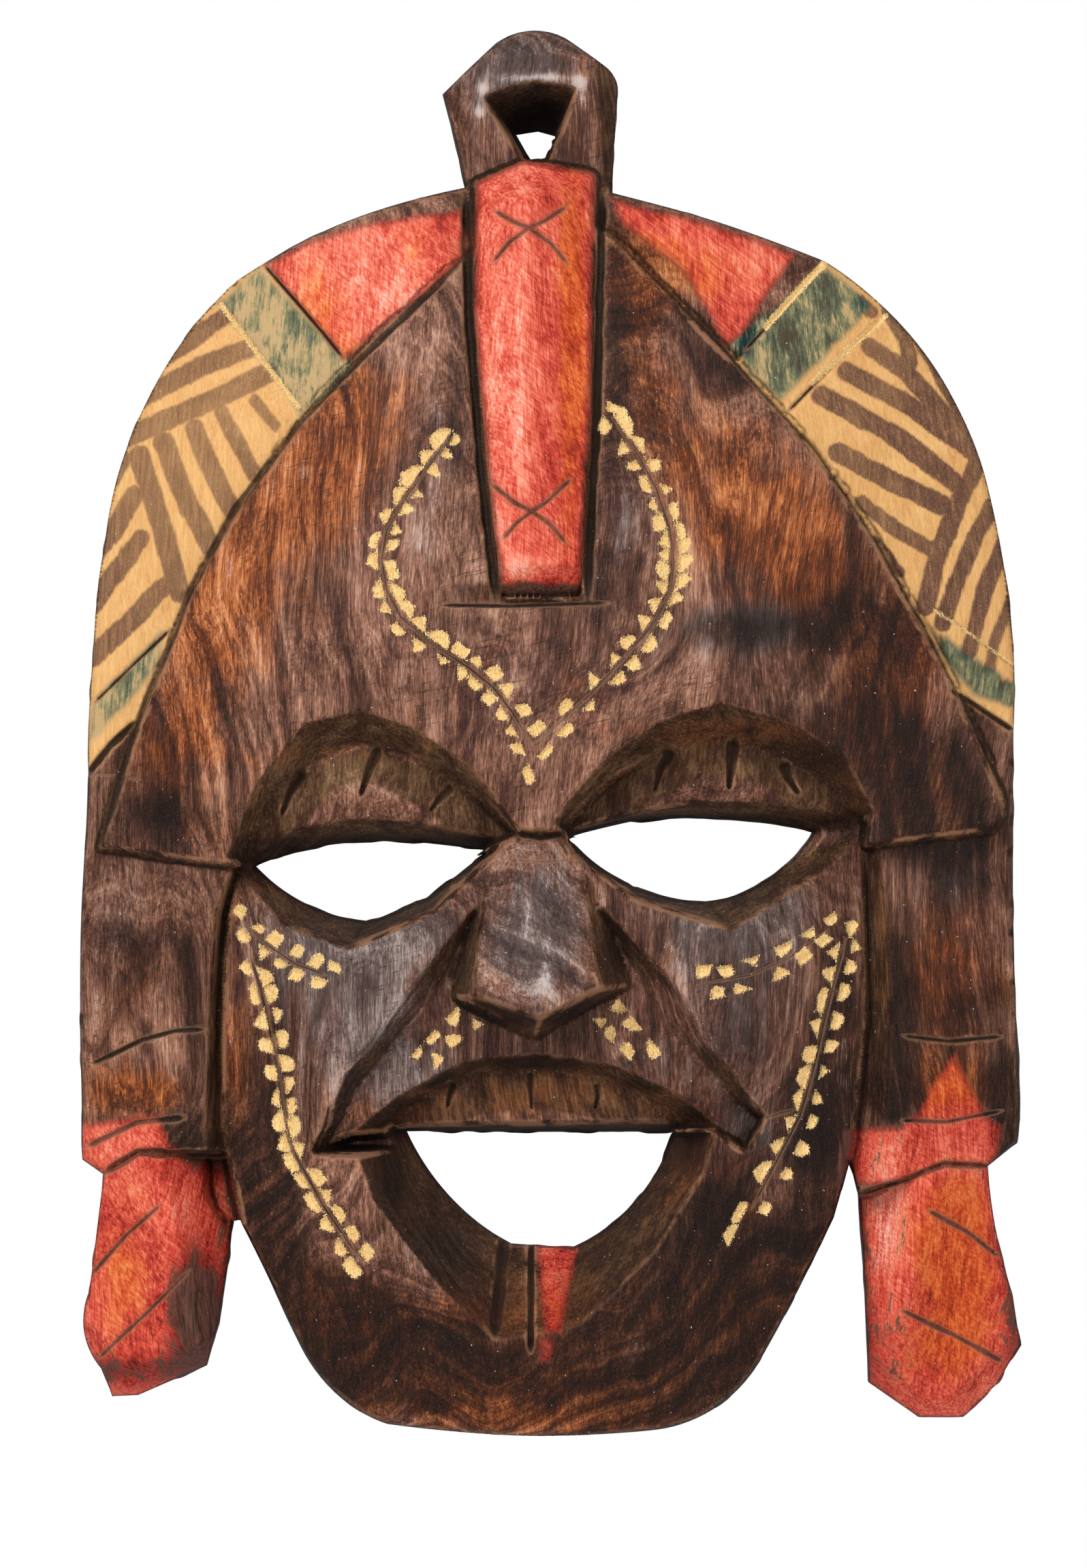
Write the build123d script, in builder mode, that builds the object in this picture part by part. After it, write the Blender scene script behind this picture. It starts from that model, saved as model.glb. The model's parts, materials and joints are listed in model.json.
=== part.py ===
"""A carved wooden wall mask, divided along its carver's cuts into separate solids.

Millimetres, +Z up. The face looks along -Y and the wall is the plane Y = 0.
The origin is the place on the wall where a nail bears in the hanging loop.
A plan point is (x, z), seen from the front. A depth is a distance forward of the wall.
"""

import os
from math import sqrt

from build123d import *

# Driving dimensions
BLANK = 60  # thickness of the block before carving
HEAD_DEPTH = 41  # headdress and ears, on their crown
HEAD_MIDDLE = -150  # height of that crown
HEAD_BEND = 216  # radius from side to side
HEAD_SWEEP = 800  # radius from top to bottom
FACE_DEPTH = 44  # cheeks and jaw, on their crown
FACE_MIDDLE = -190
FACE_BEND = 139
FACE_SWEEP = 283
FOREHEAD_RAISE = 4  # above the headdress
LID_DROP = 7  # below the headdress
CREST_DEPTH = 50
CREST_BEND = 34
MUZZLE_DROP = 6  # below the cheeks
LIP_DROP = 14
LOOP_DEPTH = 27
NOSE_ROOT_DEPTH = 41.5
NOSE_TIP_DEPTH = 56
NOSTRIL_DEPTH = 51
HOLLOW_DEPTH = 24
HOLLOW_MIDDLE = -145
HOLLOW_HALF_WIDTH = 62
HOLLOW_HALF_HEIGHT = 118
EYE_HOLE_DEPTH = 19  # where the eye's slope turns into its straight hole
MOUTH_HOLE_DEPTH = 14
GROOVE_DEPTH = 20  # bottom of the cuts between the ears and the cheeks
PIT_DEPTH = 11  # rough corner under the left ear
CUT_FLOOR = 8  # a sloping cut is drawn down to this depth
TOP, BOTTOM = 40, -300  # a form is drawn between these heights


# Rounded forms


def bend_drop(radius, distance):
    """How far an arc has fallen at a distance from its crown."""
    return radius - sqrt(radius**2 - distance**2)


def form_depth(form, x, z):
    """Depth of a form's front at a plan point."""
    crown, middle, bend, sweep = form
    reach = bend - bend_drop(sweep, z - middle)
    return crown - bend + sqrt(reach**2 - x**2)


def lowered(form, drop):
    """The parallel form below another."""
    crown, middle, bend, sweep = form
    return (crown - drop, middle, bend - drop, sweep - drop)


def rounded(form, top=TOP, bottom=BOTTOM, middle_x=0):
    """The solid behind a form: its arc from top to bottom, turned round an upright axis."""
    crown, middle, bend, _ = form
    axis_y = bend - crown
    with BuildPart() as solid:
        with BuildSketch(Plane.YZ.offset(middle_x)):
            with BuildLine():
                ThreePointArc(
                    (-form_depth(form, 0, top), top),
                    (-crown, middle),
                    (-form_depth(form, 0, bottom), bottom),
                )
                Polyline(
                    (-form_depth(form, 0, bottom), bottom),
                    (axis_y, bottom),
                    (axis_y, top),
                    (-form_depth(form, 0, top), top),
                )
            make_face()
        revolve(axis=Axis((middle_x, axis_y, 0), (0, 0, 1)))
    return solid.part


HEAD = (HEAD_DEPTH, HEAD_MIDDLE, HEAD_BEND, HEAD_SWEEP)
FACE = (FACE_DEPTH, FACE_MIDDLE, FACE_BEND, FACE_SWEEP)
FOREHEAD = lowered(HEAD, -FOREHEAD_RAISE)
LID = lowered(HEAD, LID_DROP)
MUZZLE = lowered(FACE, MUZZLE_DROP)
LIP = lowered(FACE, LIP_DROP)
CREST = (CREST_DEPTH, HEAD_MIDDLE, CREST_BEND, HEAD_SWEEP)
HOLLOW = (
    HOLLOW_DEPTH,
    HOLLOW_MIDDLE,
    (HOLLOW_HALF_WIDTH**2 + HOLLOW_DEPTH**2) / (2 * HOLLOW_DEPTH),
    (HOLLOW_HALF_HEIGHT**2 + HOLLOW_DEPTH**2) / (2 * HOLLOW_DEPTH),
)

head_form = rounded(HEAD)
face_form = rounded(FACE)
forehead_form = rounded(FOREHEAD)
lid_form = rounded(LID)
muzzle_form = rounded(MUZZLE)
lip_form = rounded(LIP)
crest_form = rounded(CREST, middle_x=-2)
hollow = rounded(
    HOLLOW, HOLLOW_MIDDLE + HOLLOW_HALF_HEIGHT, HOLLOW_MIDDLE - HOLLOW_HALF_HEIGHT
)


# Plan areas


def area(start, *moves):
    """A closed plan area: a move is a point, for a straight cut, or a pair, for an arc."""
    with BuildSketch(Plane.XZ) as drawn:
        with BuildLine():
            here = start
            for move in (*moves, start):
                if isinstance(move[0], tuple):
                    ThreePointArc(here, *move)
                    here = move[1]
                elif move != here:
                    Line(here, move)
                    here = move
        make_face()
    return drawn.sketch


def left_of(drawn, taken, inside=None):
    """What is left of an area outside those taken before it, and inside an outline."""
    with BuildSketch(Plane.XZ) as rest:
        add(drawn)
        if inside is not None:
            add(inside, mode=Mode.INTERSECT)
        for other in taken:
            add(other, mode=Mode.SUBTRACT)
    return rest.sketch


# Each area is drawn past its edge with the areas before it, which keep theirs.
LEFT_INNER_CORNER = (-4.6, -151.2)
LEFT_OUTER_CORNER = (-63.3, -158)
RIGHT_INNER_CORNER = (6.3, -150.3)
RIGHT_OUTER_CORNER = (71, -148.6)
LEFT_EAR_TOP = (-95.4, -137.8)
RIGHT_EAR_TOP = (102.7, -128.8)
LEFT_LOOP_FOOT = (-15, -12.6)
RIGHT_LOOP_FOOT = (16.4, -13.6)
JAW_LEFT_NOTCH = (-63, -233.6)
JAW_RIGHT_NOTCH = (67.2, -221)

left_eye = area(
    (-60.1, -158),
    ((-37, -152.5), (-12, -155.3)),
    ((-23.6, -164.1), (-36.2, -169.7)),
    ((-48, -166.5), (-60.1, -158)),
)
right_eye = area(
    (7.2, -151.9),
    ((33, -147.4), (60.1, -150.5)),
    ((50.5, -160.2), (36.5, -165.3)),
    ((21, -162), (7.2, -151.9)),
)
mouth = area(
    (-27.3, -214.8),
    (29.8, -214.8),
    ((23, -227.7), (8.6, -239.5)),
    (-4.9, -238.6),
    ((-17.6, -229.4), (-27.3, -214.8)),
)
openings = [left_eye, right_eye, mouth]

plans = {}


def claim(name, drawn, inside=None):
    """Give a piece what is left of its area."""
    plans[name] = left_of(drawn, [*openings, *plans.values()], inside)


claim(
    "hanging_loop",
    area(
        LEFT_LOOP_FOOT,
        (-17.9, 1.4),
        (-19.7, 7.6),
        (-8.7, 18.1),
        ((0.3, 21.1), (8, 18.4)),
        (15.3, 13.3),
        ((17.4, 10.5), (17.6, 7)),
        RIGHT_LOOP_FOOT,
        (12, -9.4),
        (2, -7.5),
        (-2.5, -7.1),
        (-12.1, -11.3),
    ),
)
claim(
    "crest_bar",
    area(
        (-12.6, -5),
        (-13.1, -39.6),
        (-10.4, -70),
        (-6.6, -100),
        (10, -100),
        (11.7, -66),
        (12.1, -39.6),
        (13.1, -5),
    ),
)
claim(
    "left_eyelid",
    area(
        LEFT_OUTER_CORNER,
        ((-53.5, -141.7), (-37, -132.2)),
        ((-20, -138), LEFT_INNER_CORNER),
        (-12, -155.3),
        (-36, -160),
        (-60.1, -158),
    ),
)
claim(
    "right_eyelid",
    area(
        RIGHT_OUTER_CORNER,
        ((57, -137), (40, -130.2)),
        ((24.7, -134.5), RIGHT_INNER_CORNER),
        (7.2, -151.9),
        (33, -156),
        (60.1, -150.5),
    ),
)
claim(
    "nose",
    area(
        LEFT_INNER_CORNER,
        (-3.6, -150.2),
        (5.9, -150.2),
        RIGHT_INNER_CORNER,
        (7.2, -151.9),
        (12.9, -165.7),
        (20.3, -181),
        (20.3, -184.2),
        (-0.2, -195),
        (-17.4, -185.2),
        (-17.6, -181.5),
        (-11, -165),
    ),
)
claim(
    "upper_lip",
    area(
        (-31.5, -214.9),
        ((-19, -204.9), (-2, -201.7)),
        ((17, -204.5), (32, -214)),
        (29.8, -214.8),
        (20, -218),
        (-20, -218),
        (-27.3, -214.8),
    ),
)
claim(
    "muzzle",
    area(
        (-17.6, -181.5),
        ((-32, -199), (-46.5, -218.5)),
        (-38.9, -215.2),
        (-31.5, -214.9),
        (0, -210),
        (32, -214),
        (38.5, -214),
        (44.9, -218.8),
        (49, -212),
        ((35.5, -200), (20.3, -181)),
        (0, -185),
    ),
)
claim(
    "forehead",
    area(
        (-13, -26),
        (-14.8, -27.3),
        ((-49.6, -62.3), (-73.8, -99.6)),
        ((-82.7, -121.9), (-92.6, -152)),
        (-93.2, -153.8),
        LEFT_OUTER_CORNER,
        (-36, -155),
        (-12, -155.3),
        LEFT_INNER_CORNER,
        (1, -155),
        RIGHT_INNER_CORNER,
        (7.2, -151.9),
        (33, -155),
        (60.1, -150.5),
        RIGHT_OUTER_CORNER,
        (70.5, -153.7),
        (98, -150.2),
        ((100.1, -147), (99.8, -142)),
        ((92.5, -125), (83.5, -107.3)),
        ((63.5, -74.2), (40.4, -47.3)),
        (15.8, -22.7),
        (10, -20),
    ),
)
claim(
    "left_cheek",
    area(
        LEFT_INNER_CORNER,
        (-12, -155.3),
        (-36, -160),
        (-60.1, -158),
        LEFT_OUTER_CORNER,
        (-65.5, -168),
        (-62, -173.5),
        ((-55.5, -198), (-52, -216.5)),
        ((-46.5, -228), (-39, -240)),
        (-28.5, -237),
        (-17.6, -229.4),
        (-10, -222),
        (-20, -212),
        (-30, -206),
        (-19, -185),
        (-8, -172),
    ),
)
claim(
    "right_cheek",
    area(
        RIGHT_INNER_CORNER,
        (7.2, -151.9),
        (33, -157),
        (60.1, -150.5),
        RIGHT_OUTER_CORNER,
        (70.5, -153.7),
        (70.6, -168),
        (66.5, -176),
        ((61.2, -195), (56.5, -213.5)),
        ((50, -226.5), (42.5, -239)),
        (28.5, -236),
        (18, -232.6),
        (10, -222),
        (20, -212),
        (33, -206),
        (22, -185),
        (10, -172),
    ),
)
claim(
    "lower_lip_strip",
    area((0.8, -236), (0.8, -241), (2.3, -257.5), (5.9, -257.5), (9.2, -241), (9.2, -236)),
)
claim(
    "jaw",
    area(
        (-65.5, -168),
        (-66.8, -185),
        (-67, -213),
        JAW_LEFT_NOTCH,
        ((-56.2, -247.4), (-50.2, -260.5)),
        ((-42.5, -270.7), (-31.5, -277)),
        ((0, -279.3), (26, -278.2)),
        ((39.5, -273.2), (48, -264)),
        ((57.5, -246.2), (63.9, -233)),
        JAW_RIGHT_NOTCH,
        (67.9, -218.4),
        (71.3, -189.6),
        (70.6, -168),
        (60, -172),
        (50, -210),
        (40, -228),
        (0, -225),
        (-38, -226),
        (-48, -205),
        (-58, -172),
    ),
)
claim(
    "left_ear",
    area(
        LEFT_EAR_TOP,
        ((-97.1, -165), (-97.2, -206)),
        (-97, -221),
        (-92.4, -224),
        (-85, -219.4),
        (-60, -219.3),
        (-58, -163),
        (-75, -140),
        (-84, -126.5),
    ),
)
claim(
    "right_ear",
    area(
        RIGHT_EAR_TOP,
        ((102.6, -165), (103.8, -200)),
        (104.1, -212.4),
        (103.4, -217.5),
        (97.2, -222.3),
        (87.7, -221.4),
        (69.4, -228),
        (68.4, -224),
        JAW_RIGHT_NOTCH,
        (60, -215),
        (62, -172),
        (66, -160),
        (69, -150),
        (80, -140),
        (88, -119.5),
    ),
)
claim(
    "left_earring",
    area(
        (-92.4, -224),
        (-95.7, -249.7),
        ((-96.6, -258.5), (-93, -265.8)),
        (-90.5, -271.8),
        (-85, -271.6),
        (-70.2, -265),
        (-67.8, -256),
        (-65.6, -241),
        (-64.9, -233.8),
        JAW_LEFT_NOTCH,
        (-58, -225),
        (-60, -215),
        (-85, -212),
    ),
)
claim(
    "right_earring",
    area(
        (97.2, -222.3),
        ((98.8, -235), (102.7, -250)),
        (104.4, -261),
        (99.7, -269),
        (92, -276.2),
        (82.4, -276),
        (71.6, -268.6),
        (70.8, -244),
        (69.4, -228),
        (80, -216),
        (95, -218),
    ),
)

left_headdress = area(
    LEFT_LOOP_FOOT,
    ((-40, -19.8), (-63.8, -32.3)),
    ((-82.5, -57), (-91.9, -88)),
    ((-94.8, -112), LEFT_EAR_TOP),
    (-84, -126.5),
    (-50, -90),
    (0, -40),
    (-12, -5),
)
right_headdress = area(
    RIGHT_LOOP_FOOT,
    ((40, -20.3), (62, -28.3)),
    ((83, -47.2), (97.3, -77.7)),
    ((101.6, -100), RIGHT_EAR_TOP),
    (88, -119.5),
    (50, -90),
    (0, -40),
    (12, -5),
)
# Each panel runs from the lower corner of its side up to the straight cut above it.
LEFT_PANELS = {
    "left_hem": ((-100, -128.2), (-74, -103.5)),
    "left_striped_panel": ((-74.7, -26.9), (-44, -68.4)),
    "left_green_panel": ((-63.5, -22.3), (-36, -55.4)),
    "left_red_panel": ((0, 0), (0, -60)),
}
RIGHT_PANELS = {
    "right_hem": ((108, -119.3), (80, -98.4)),
    "right_striped_panel": ((84, -31.3), (50, -64.8)),
    "right_green_panel": ((68, -21.2), (40, -53.8)),
    "right_red_panel": ((0, 0), (0, -60)),
}
for panels, outline, corner in (
    (LEFT_PANELS, left_headdress, -120),
    (RIGHT_PANELS, right_headdress, 120),
):
    for panel, (upper, inner) in panels.items():
        claim(
            panel,
            area(upper, inner, (inner[0], -150), (corner, -150), (corner, upper[1])),
            outline,
        )


# Sloping cuts


def at_depth(low, high, depth):
    """The plan point at a depth on the line through two (x, z, depth) points."""
    share = (depth - low[2]) / (high[2] - low[2])
    return tuple(a + (b - a) * share for a, b in zip(low[:2], high[:2]))


def sloping_cut(low_points, low_form, high_points, high_form, closing=(), floor=CUT_FLOOR):
    """Waste between a low line and a high line, each lying on its own form or at a depth."""

    def placed(points, form):
        return [
            (x, z, form_depth(form, x, z) if isinstance(form, tuple) else form)
            for x, z in points
        ]

    pairs = list(zip(placed(low_points, low_form), placed(high_points, high_form)))
    with BuildPart() as waste:
        for depth in (floor, BLANK + 1):
            with BuildSketch(Plane.XZ.offset(depth)):
                with BuildLine():
                    Polyline(
                        *[at_depth(low, high, depth) for low, high in pairs],
                        *closing,
                        close=True,
                    )
                make_face()
        loft(ruled=True)
    return waste.part


left_brow_cut = sloping_cut(
    [(-63.3, -158), (-55.5, -144.3), (-46, -134.8), (-37, -132.2), (-27, -134.2),
     (-16.5, -140.4), (-4.6, -151.2)],
    LID,
    [(-66, -156), (-59.6, -140), (-49.1, -127), (-37, -124.5), (-25.8, -128),
     (-14, -136.2), (-3.2, -150.4)],
    FOREHEAD,
    closing=[(-33, -170)],
    floor=22,
)
right_brow_cut = sloping_cut(
    [(6.3, -150.3), (16.5, -141.8), (27.5, -133), (40, -130.2), (51.5, -133.6),
     (62.2, -141), (71, -148.6)],
    LID,
    [(3.6, -148.6), (14, -135.7), (26.5, -126.6), (40, -122.5), (54, -126.6),
     (66.5, -135), (72.3, -146.5)],
    FOREHEAD,
    closing=[(37, -170)],
    floor=22,
)
left_smile_cut = sloping_cut(
    [(-11, -165.3), (-15.2, -175.5), (-24.5, -190.5), (-36.5, -204.5), (-46.5, -218.5)],
    MUZZLE,
    [(-11.2, -165), (-20.4, -175), (-30.5, -188), (-40.6, -202), (-47.6, -219)],
    FACE,
    closing=[(0, -219), (0, -165)],
    floor=22,
)
right_smile_cut = sloping_cut(
    [(12.9, -166), (17.5, -175.5), (27, -190.5), (38, -202.5), (49, -212)],
    MUZZLE,
    [(13.1, -165.7), (22.7, -175.8), (34.8, -189.2), (44.2, -203.4), (49.8, -211.6)],
    FACE,
    closing=[(0, -219), (0, -165)],
    floor=22,
)
lip_cut = sloping_cut(
    [(-31.5, -214.9), (-24.5, -208.3), (-13, -202.6), (0, -201.6), (15, -203.6),
     (25.5, -208.9), (32, -214)],
    LIP,
    [(-38.9, -214.8), (-28.5, -206.7), (-15, -199.3), (0, -197.6), (17.3, -200.3),
     (30.8, -206.7), (39.5, -213)],
    MUZZLE,
    closing=[(0, -226)],
    floor=22,
)
left_eye_lower_cut = sloping_cut(
    [(-60.1, -158), (-36, -156), (-12, -155.3), (-23.4, -164.1), (-36.2, -169.7), (-48, -166.5)],
    EYE_HOLE_DEPTH,
    [(-64.3, -158.3), (-36, -150), (-6.5, -152.8), (-21.3, -166.9), (-39.9, -175.3),
     (-54, -170.3)],
    FACE,
    floor=EYE_HOLE_DEPTH,
)
left_eye_upper_cut = sloping_cut(
    [(-60.1, -158), (-51.9, -154.6), (-38, -152.5), (-24, -153.1), (-12, -155.3), (-36, -165)],
    EYE_HOLE_DEPTH,
    [(-63.5, -157.5), (-52, -150), (-38.5, -147.6), (-24, -148.6), (-7, -151.6), (-36, -170)],
    LID,
    floor=EYE_HOLE_DEPTH,
)
right_eye_lower_cut = sloping_cut(
    [(7.2, -151.9), (33, -152), (60.1, -150.6), (50.5, -160.1), (36.5, -165.3), (21, -162)],
    EYE_HOLE_DEPTH,
    [(4.9, -152.2), (33, -147), (70, -149.4), (55.5, -162.4), (42.4, -171), (22, -165.2)],
    FACE,
    floor=EYE_HOLE_DEPTH,
)
right_eye_upper_cut = sloping_cut(
    [(7.2, -151.9), (20.3, -148.8), (33, -147.4), (48.1, -148.4), (60.1, -150.5), (33, -160)],
    EYE_HOLE_DEPTH,
    [(6.8, -150.6), (20.3, -146.5), (35, -143.9), (50, -144.3), (69, -148.2), (33, -165)],
    LID,
    floor=EYE_HOLE_DEPTH,
)
mouth_lower_cut = sloping_cut(
    [(-27.3, -214.8), (29.8, -214.8), (27.4, -222.3), (18, -232.7), (8.6, -239.5),
     (-4.9, -238.6), (-12.3, -234), (-21.7, -224.3)],
    MOUTH_HOLE_DEPTH,
    [(-39, -214.9), (38.2, -214.6), (36.2, -222.3), (25.4, -239.8), (9.9, -255.3),
     (-8, -258.6), (-20, -247.5), (-34.5, -229)],
    FACE,
    floor=MOUTH_HOLE_DEPTH,
)
mouth_upper_cut = sloping_cut(
    [(-31.5, -215), (0, -214.9), (31.8, -214.9), (0, -225)],
    MOUTH_HOLE_DEPTH,
    [(-32.5, -213.8), (0, -212.4), (33, -212.6), (0, -230)],
    LIP,
    floor=MOUTH_HOLE_DEPTH,
)
LOOP_HOLE = [(-4.2, -0.7), (0.6, 0), (4.4, -1), (2, -6.3), (-1, -6.5)]
loop_hole = area(*LOOP_HOLE)
loop_hole_cut = sloping_cut(
    LOOP_HOLE,
    4,
    [(-11, 7.2), (0, 10.2), (8.8, 9), (2.6, -6.5), (-2.5, -6.7)],
    LOOP_DEPTH,
    floor=4,
)
left_ear_slope = sloping_cut(
    [(-63, -150), (-64, -160), (-65.5, -168), (-66.8, -185), (-67, -213), (-66.5, -222)],
    GROOVE_DEPTH,
    [(-63.4, -150), (-65, -160), (-68, -168), (-69.4, -185), (-70.5, -213), (-70.5, -222)],
    HEAD,
    closing=[(-40, -222), (-40, -150)],
)
right_ear_slope = sloping_cut(
    [(70, -148), (70.5, -155), (70.6, -168), (71.3, -189.6), (67.9, -218.4), (66, -226)],
    GROOVE_DEPTH,
    [(71.5, -148), (74, -158), (75.5, -168), (76.6, -189.6), (74.8, -217.4), (70, -226)],
    HEAD,
    closing=[(40, -226), (40, -148)],
)


# Pieces


def knife_cut(first, second, third):
    """A flat cut through three (x, z, depth) points, facing forward."""
    corners = [Vector(x, -depth, z) for x, z, depth in (first, second, third)]
    normal = (corners[1] - corners[0]).cross(corners[2] - corners[0])
    if normal.Y > 0:
        normal = -normal
    return Plane(corners[0], x_dir=corners[1] - corners[0], z_dir=normal)


def carved(name, form, cuts=()):
    """A piece kept inside a form, with its cuts, the hollow and any loose crumb taken away."""
    with BuildPart() as piece:
        extrude(plans[name], amount=BLANK)
        add(form, mode=Mode.INTERSECT)
        for cut in (*cuts, hollow):
            add(cut, mode=Mode.SUBTRACT)
    return piece.solids().sort_by(SortBy.VOLUME)[-1]


with BuildPart() as hanging_loop:
    extrude(plans["hanging_loop"], amount=LOOP_DEPTH)
    extrude(loop_hole, amount=LOOP_DEPTH, mode=Mode.SUBTRACT)
    add(loop_hole_cut, mode=Mode.SUBTRACT)
    split(bisect_by=knife_cut((13, 12, 27), (14.5, -8, 27), (17.6, 7, 21)), keep=Keep.BOTTOM)
    split(bisect_by=knife_cut((-15.5, 12, 27), (-14, -8, 27), (-19.7, 7.6, 23)), keep=Keep.BOTTOM)
    split(bisect_by=knife_cut((-8, 15.5, 27), (8, 15, 27), (0, 21, 23)), keep=Keep.BOTTOM)

with BuildPart() as crest_bar:
    add(carved("crest_bar", crest_form))
    split(bisect_by=knife_cut((-12, -14, 37), (12, -14, 37), (0, -8.5, 31)), keep=Keep.BOTTOM)

with BuildPart() as forehead:
    add(carved("forehead", forehead_form, [left_brow_cut, right_brow_cut]))

with BuildPart() as left_eyelid:
    add(carved("left_eyelid", lid_form, [left_eye_upper_cut]))

with BuildPart() as right_eyelid:
    add(carved("right_eyelid", lid_form, [right_eye_upper_cut]))

with BuildPart() as nose:
    extrude(plans["nose"], amount=BLANK)
    add(hollow, mode=Mode.SUBTRACT)
    root = (1, -150.2, NOSE_ROOT_DEPTH)
    tip = (1.2, -189.6, NOSE_TIP_DEPTH)
    left_wing = (-13, -184.9, NOSTRIL_DEPTH)
    right_wing = (13.9, -183.8, NOSTRIL_DEPTH)
    split(bisect_by=knife_cut(root, tip, left_wing), keep=Keep.BOTTOM)
    split(bisect_by=knife_cut(root, tip, right_wing), keep=Keep.BOTTOM)
    split(bisect_by=knife_cut((-11, -165, 44), left_wing, (-17.5, -183, 36)), keep=Keep.BOTTOM)
    split(bisect_by=knife_cut((11.4, -164, 44), right_wing, (20.3, -182, 36)), keep=Keep.BOTTOM)
    split(bisect_by=knife_cut(tip, left_wing, (-0.2, -195, 36)), keep=Keep.BOTTOM)
    split(bisect_by=knife_cut(tip, right_wing, (-0.2, -195, 36)), keep=Keep.BOTTOM)

with BuildPart() as muzzle:
    add(carved("muzzle", muzzle_form, [lip_cut]))

with BuildPart() as upper_lip:
    add(carved("upper_lip", lip_form, [mouth_upper_cut]))

with BuildPart() as left_cheek:
    add(carved("left_cheek", face_form, [left_smile_cut, left_eye_lower_cut, mouth_lower_cut]))

with BuildPart() as right_cheek:
    add(carved("right_cheek", face_form, [right_smile_cut, right_eye_lower_cut, mouth_lower_cut]))

with BuildPart() as lower_lip_strip:
    add(carved("lower_lip_strip", face_form, [mouth_lower_cut]))

with BuildPart() as jaw:
    add(carved("jaw", face_form, [mouth_lower_cut]))

with BuildPart() as left_ear:
    add(carved("left_ear", head_form, [left_ear_slope]))

with BuildPart() as right_ear:
    add(carved("right_ear", head_form, [right_ear_slope]))

with BuildPart() as left_earring:
    add(carved("left_earring", head_form))
    split(bisect_by=knife_cut((-82, -221, 24), (-73.5, -262, 22), (-66, -245, 15)), keep=Keep.BOTTOM)
    split(bisect_by=knife_cut((-92, -266, 17), (-73.5, -262, 20), (-85, -271.6, 11)), keep=Keep.BOTTOM)
    with BuildSketch(Plane.XZ.offset(PIT_DEPTH)):
        with BuildLine():
            Polyline((-70.5, -219), (-60, -219), (-60, -235), (-66.5, -235), (-70, -229), close=True)
        make_face()
    extrude(amount=BLANK, mode=Mode.SUBTRACT)

with BuildPart() as right_earring:
    add(carved("right_earring", head_form))
    split(bisect_by=knife_cut((87.7, -221, 22), (78.8, -253, 21), (70, -240, 15)), keep=Keep.BOTTOM)
    split(bisect_by=knife_cut((100, -267, 14), (74, -266, 18), (92, -276, 10)), keep=Keep.BOTTOM)

pieces = {
    "hanging_loop": hanging_loop,
    "crest_bar": crest_bar,
    "forehead": forehead,
    "left_eyelid": left_eyelid,
    "right_eyelid": right_eyelid,
    "nose": nose,
    "muzzle": muzzle,
    "upper_lip": upper_lip,
    "left_cheek": left_cheek,
    "right_cheek": right_cheek,
    "lower_lip_strip": lower_lip_strip,
    "jaw": jaw,
    "left_ear": left_ear,
    "right_ear": right_ear,
    "left_earring": left_earring,
    "right_earring": right_earring,
}

for panel_name in (*LEFT_PANELS, *RIGHT_PANELS):
    with BuildPart() as panel_part:
        add(carved(panel_name, head_form))
    pieces[panel_name] = panel_part

os.makedirs("parts", exist_ok=True)
for name, piece in pieces.items():
    piece.part.label = name
    export_step(piece.part, f"parts/{name}.step")
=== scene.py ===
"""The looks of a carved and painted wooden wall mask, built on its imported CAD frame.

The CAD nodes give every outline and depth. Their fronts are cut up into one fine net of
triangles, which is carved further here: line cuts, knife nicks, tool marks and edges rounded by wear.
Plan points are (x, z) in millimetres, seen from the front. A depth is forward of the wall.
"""

import bpy
import json
import math
import numpy as np
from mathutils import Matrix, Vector
from mathutils.bvhtree import BVHTree
from mathutils.geometry import delaunay_2d_cdt
from mathutils.kdtree import KDTree

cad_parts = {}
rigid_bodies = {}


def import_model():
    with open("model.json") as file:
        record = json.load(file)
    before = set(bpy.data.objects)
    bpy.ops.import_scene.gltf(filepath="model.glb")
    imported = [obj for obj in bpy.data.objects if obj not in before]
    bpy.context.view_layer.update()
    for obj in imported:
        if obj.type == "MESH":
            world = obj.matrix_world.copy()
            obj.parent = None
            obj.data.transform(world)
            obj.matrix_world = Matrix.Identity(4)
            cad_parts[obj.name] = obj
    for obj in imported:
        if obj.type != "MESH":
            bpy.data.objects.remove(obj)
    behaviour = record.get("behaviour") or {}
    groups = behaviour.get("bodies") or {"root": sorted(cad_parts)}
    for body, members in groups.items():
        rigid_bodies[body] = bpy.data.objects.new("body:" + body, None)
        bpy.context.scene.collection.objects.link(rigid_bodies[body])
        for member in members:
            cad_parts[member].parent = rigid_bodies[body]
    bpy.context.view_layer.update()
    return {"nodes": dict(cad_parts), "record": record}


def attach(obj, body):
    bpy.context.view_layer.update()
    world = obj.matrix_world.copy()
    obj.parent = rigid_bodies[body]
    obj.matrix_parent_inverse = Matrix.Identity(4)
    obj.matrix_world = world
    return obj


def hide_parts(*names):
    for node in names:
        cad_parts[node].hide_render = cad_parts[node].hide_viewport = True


for startup_object in list(bpy.data.objects):
    bpy.data.objects.remove(startup_object)

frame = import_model()
nodes = frame["nodes"]
slots = {part["node"]: part["material_slot"] for part in frame["record"]["subparts"]}

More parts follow.
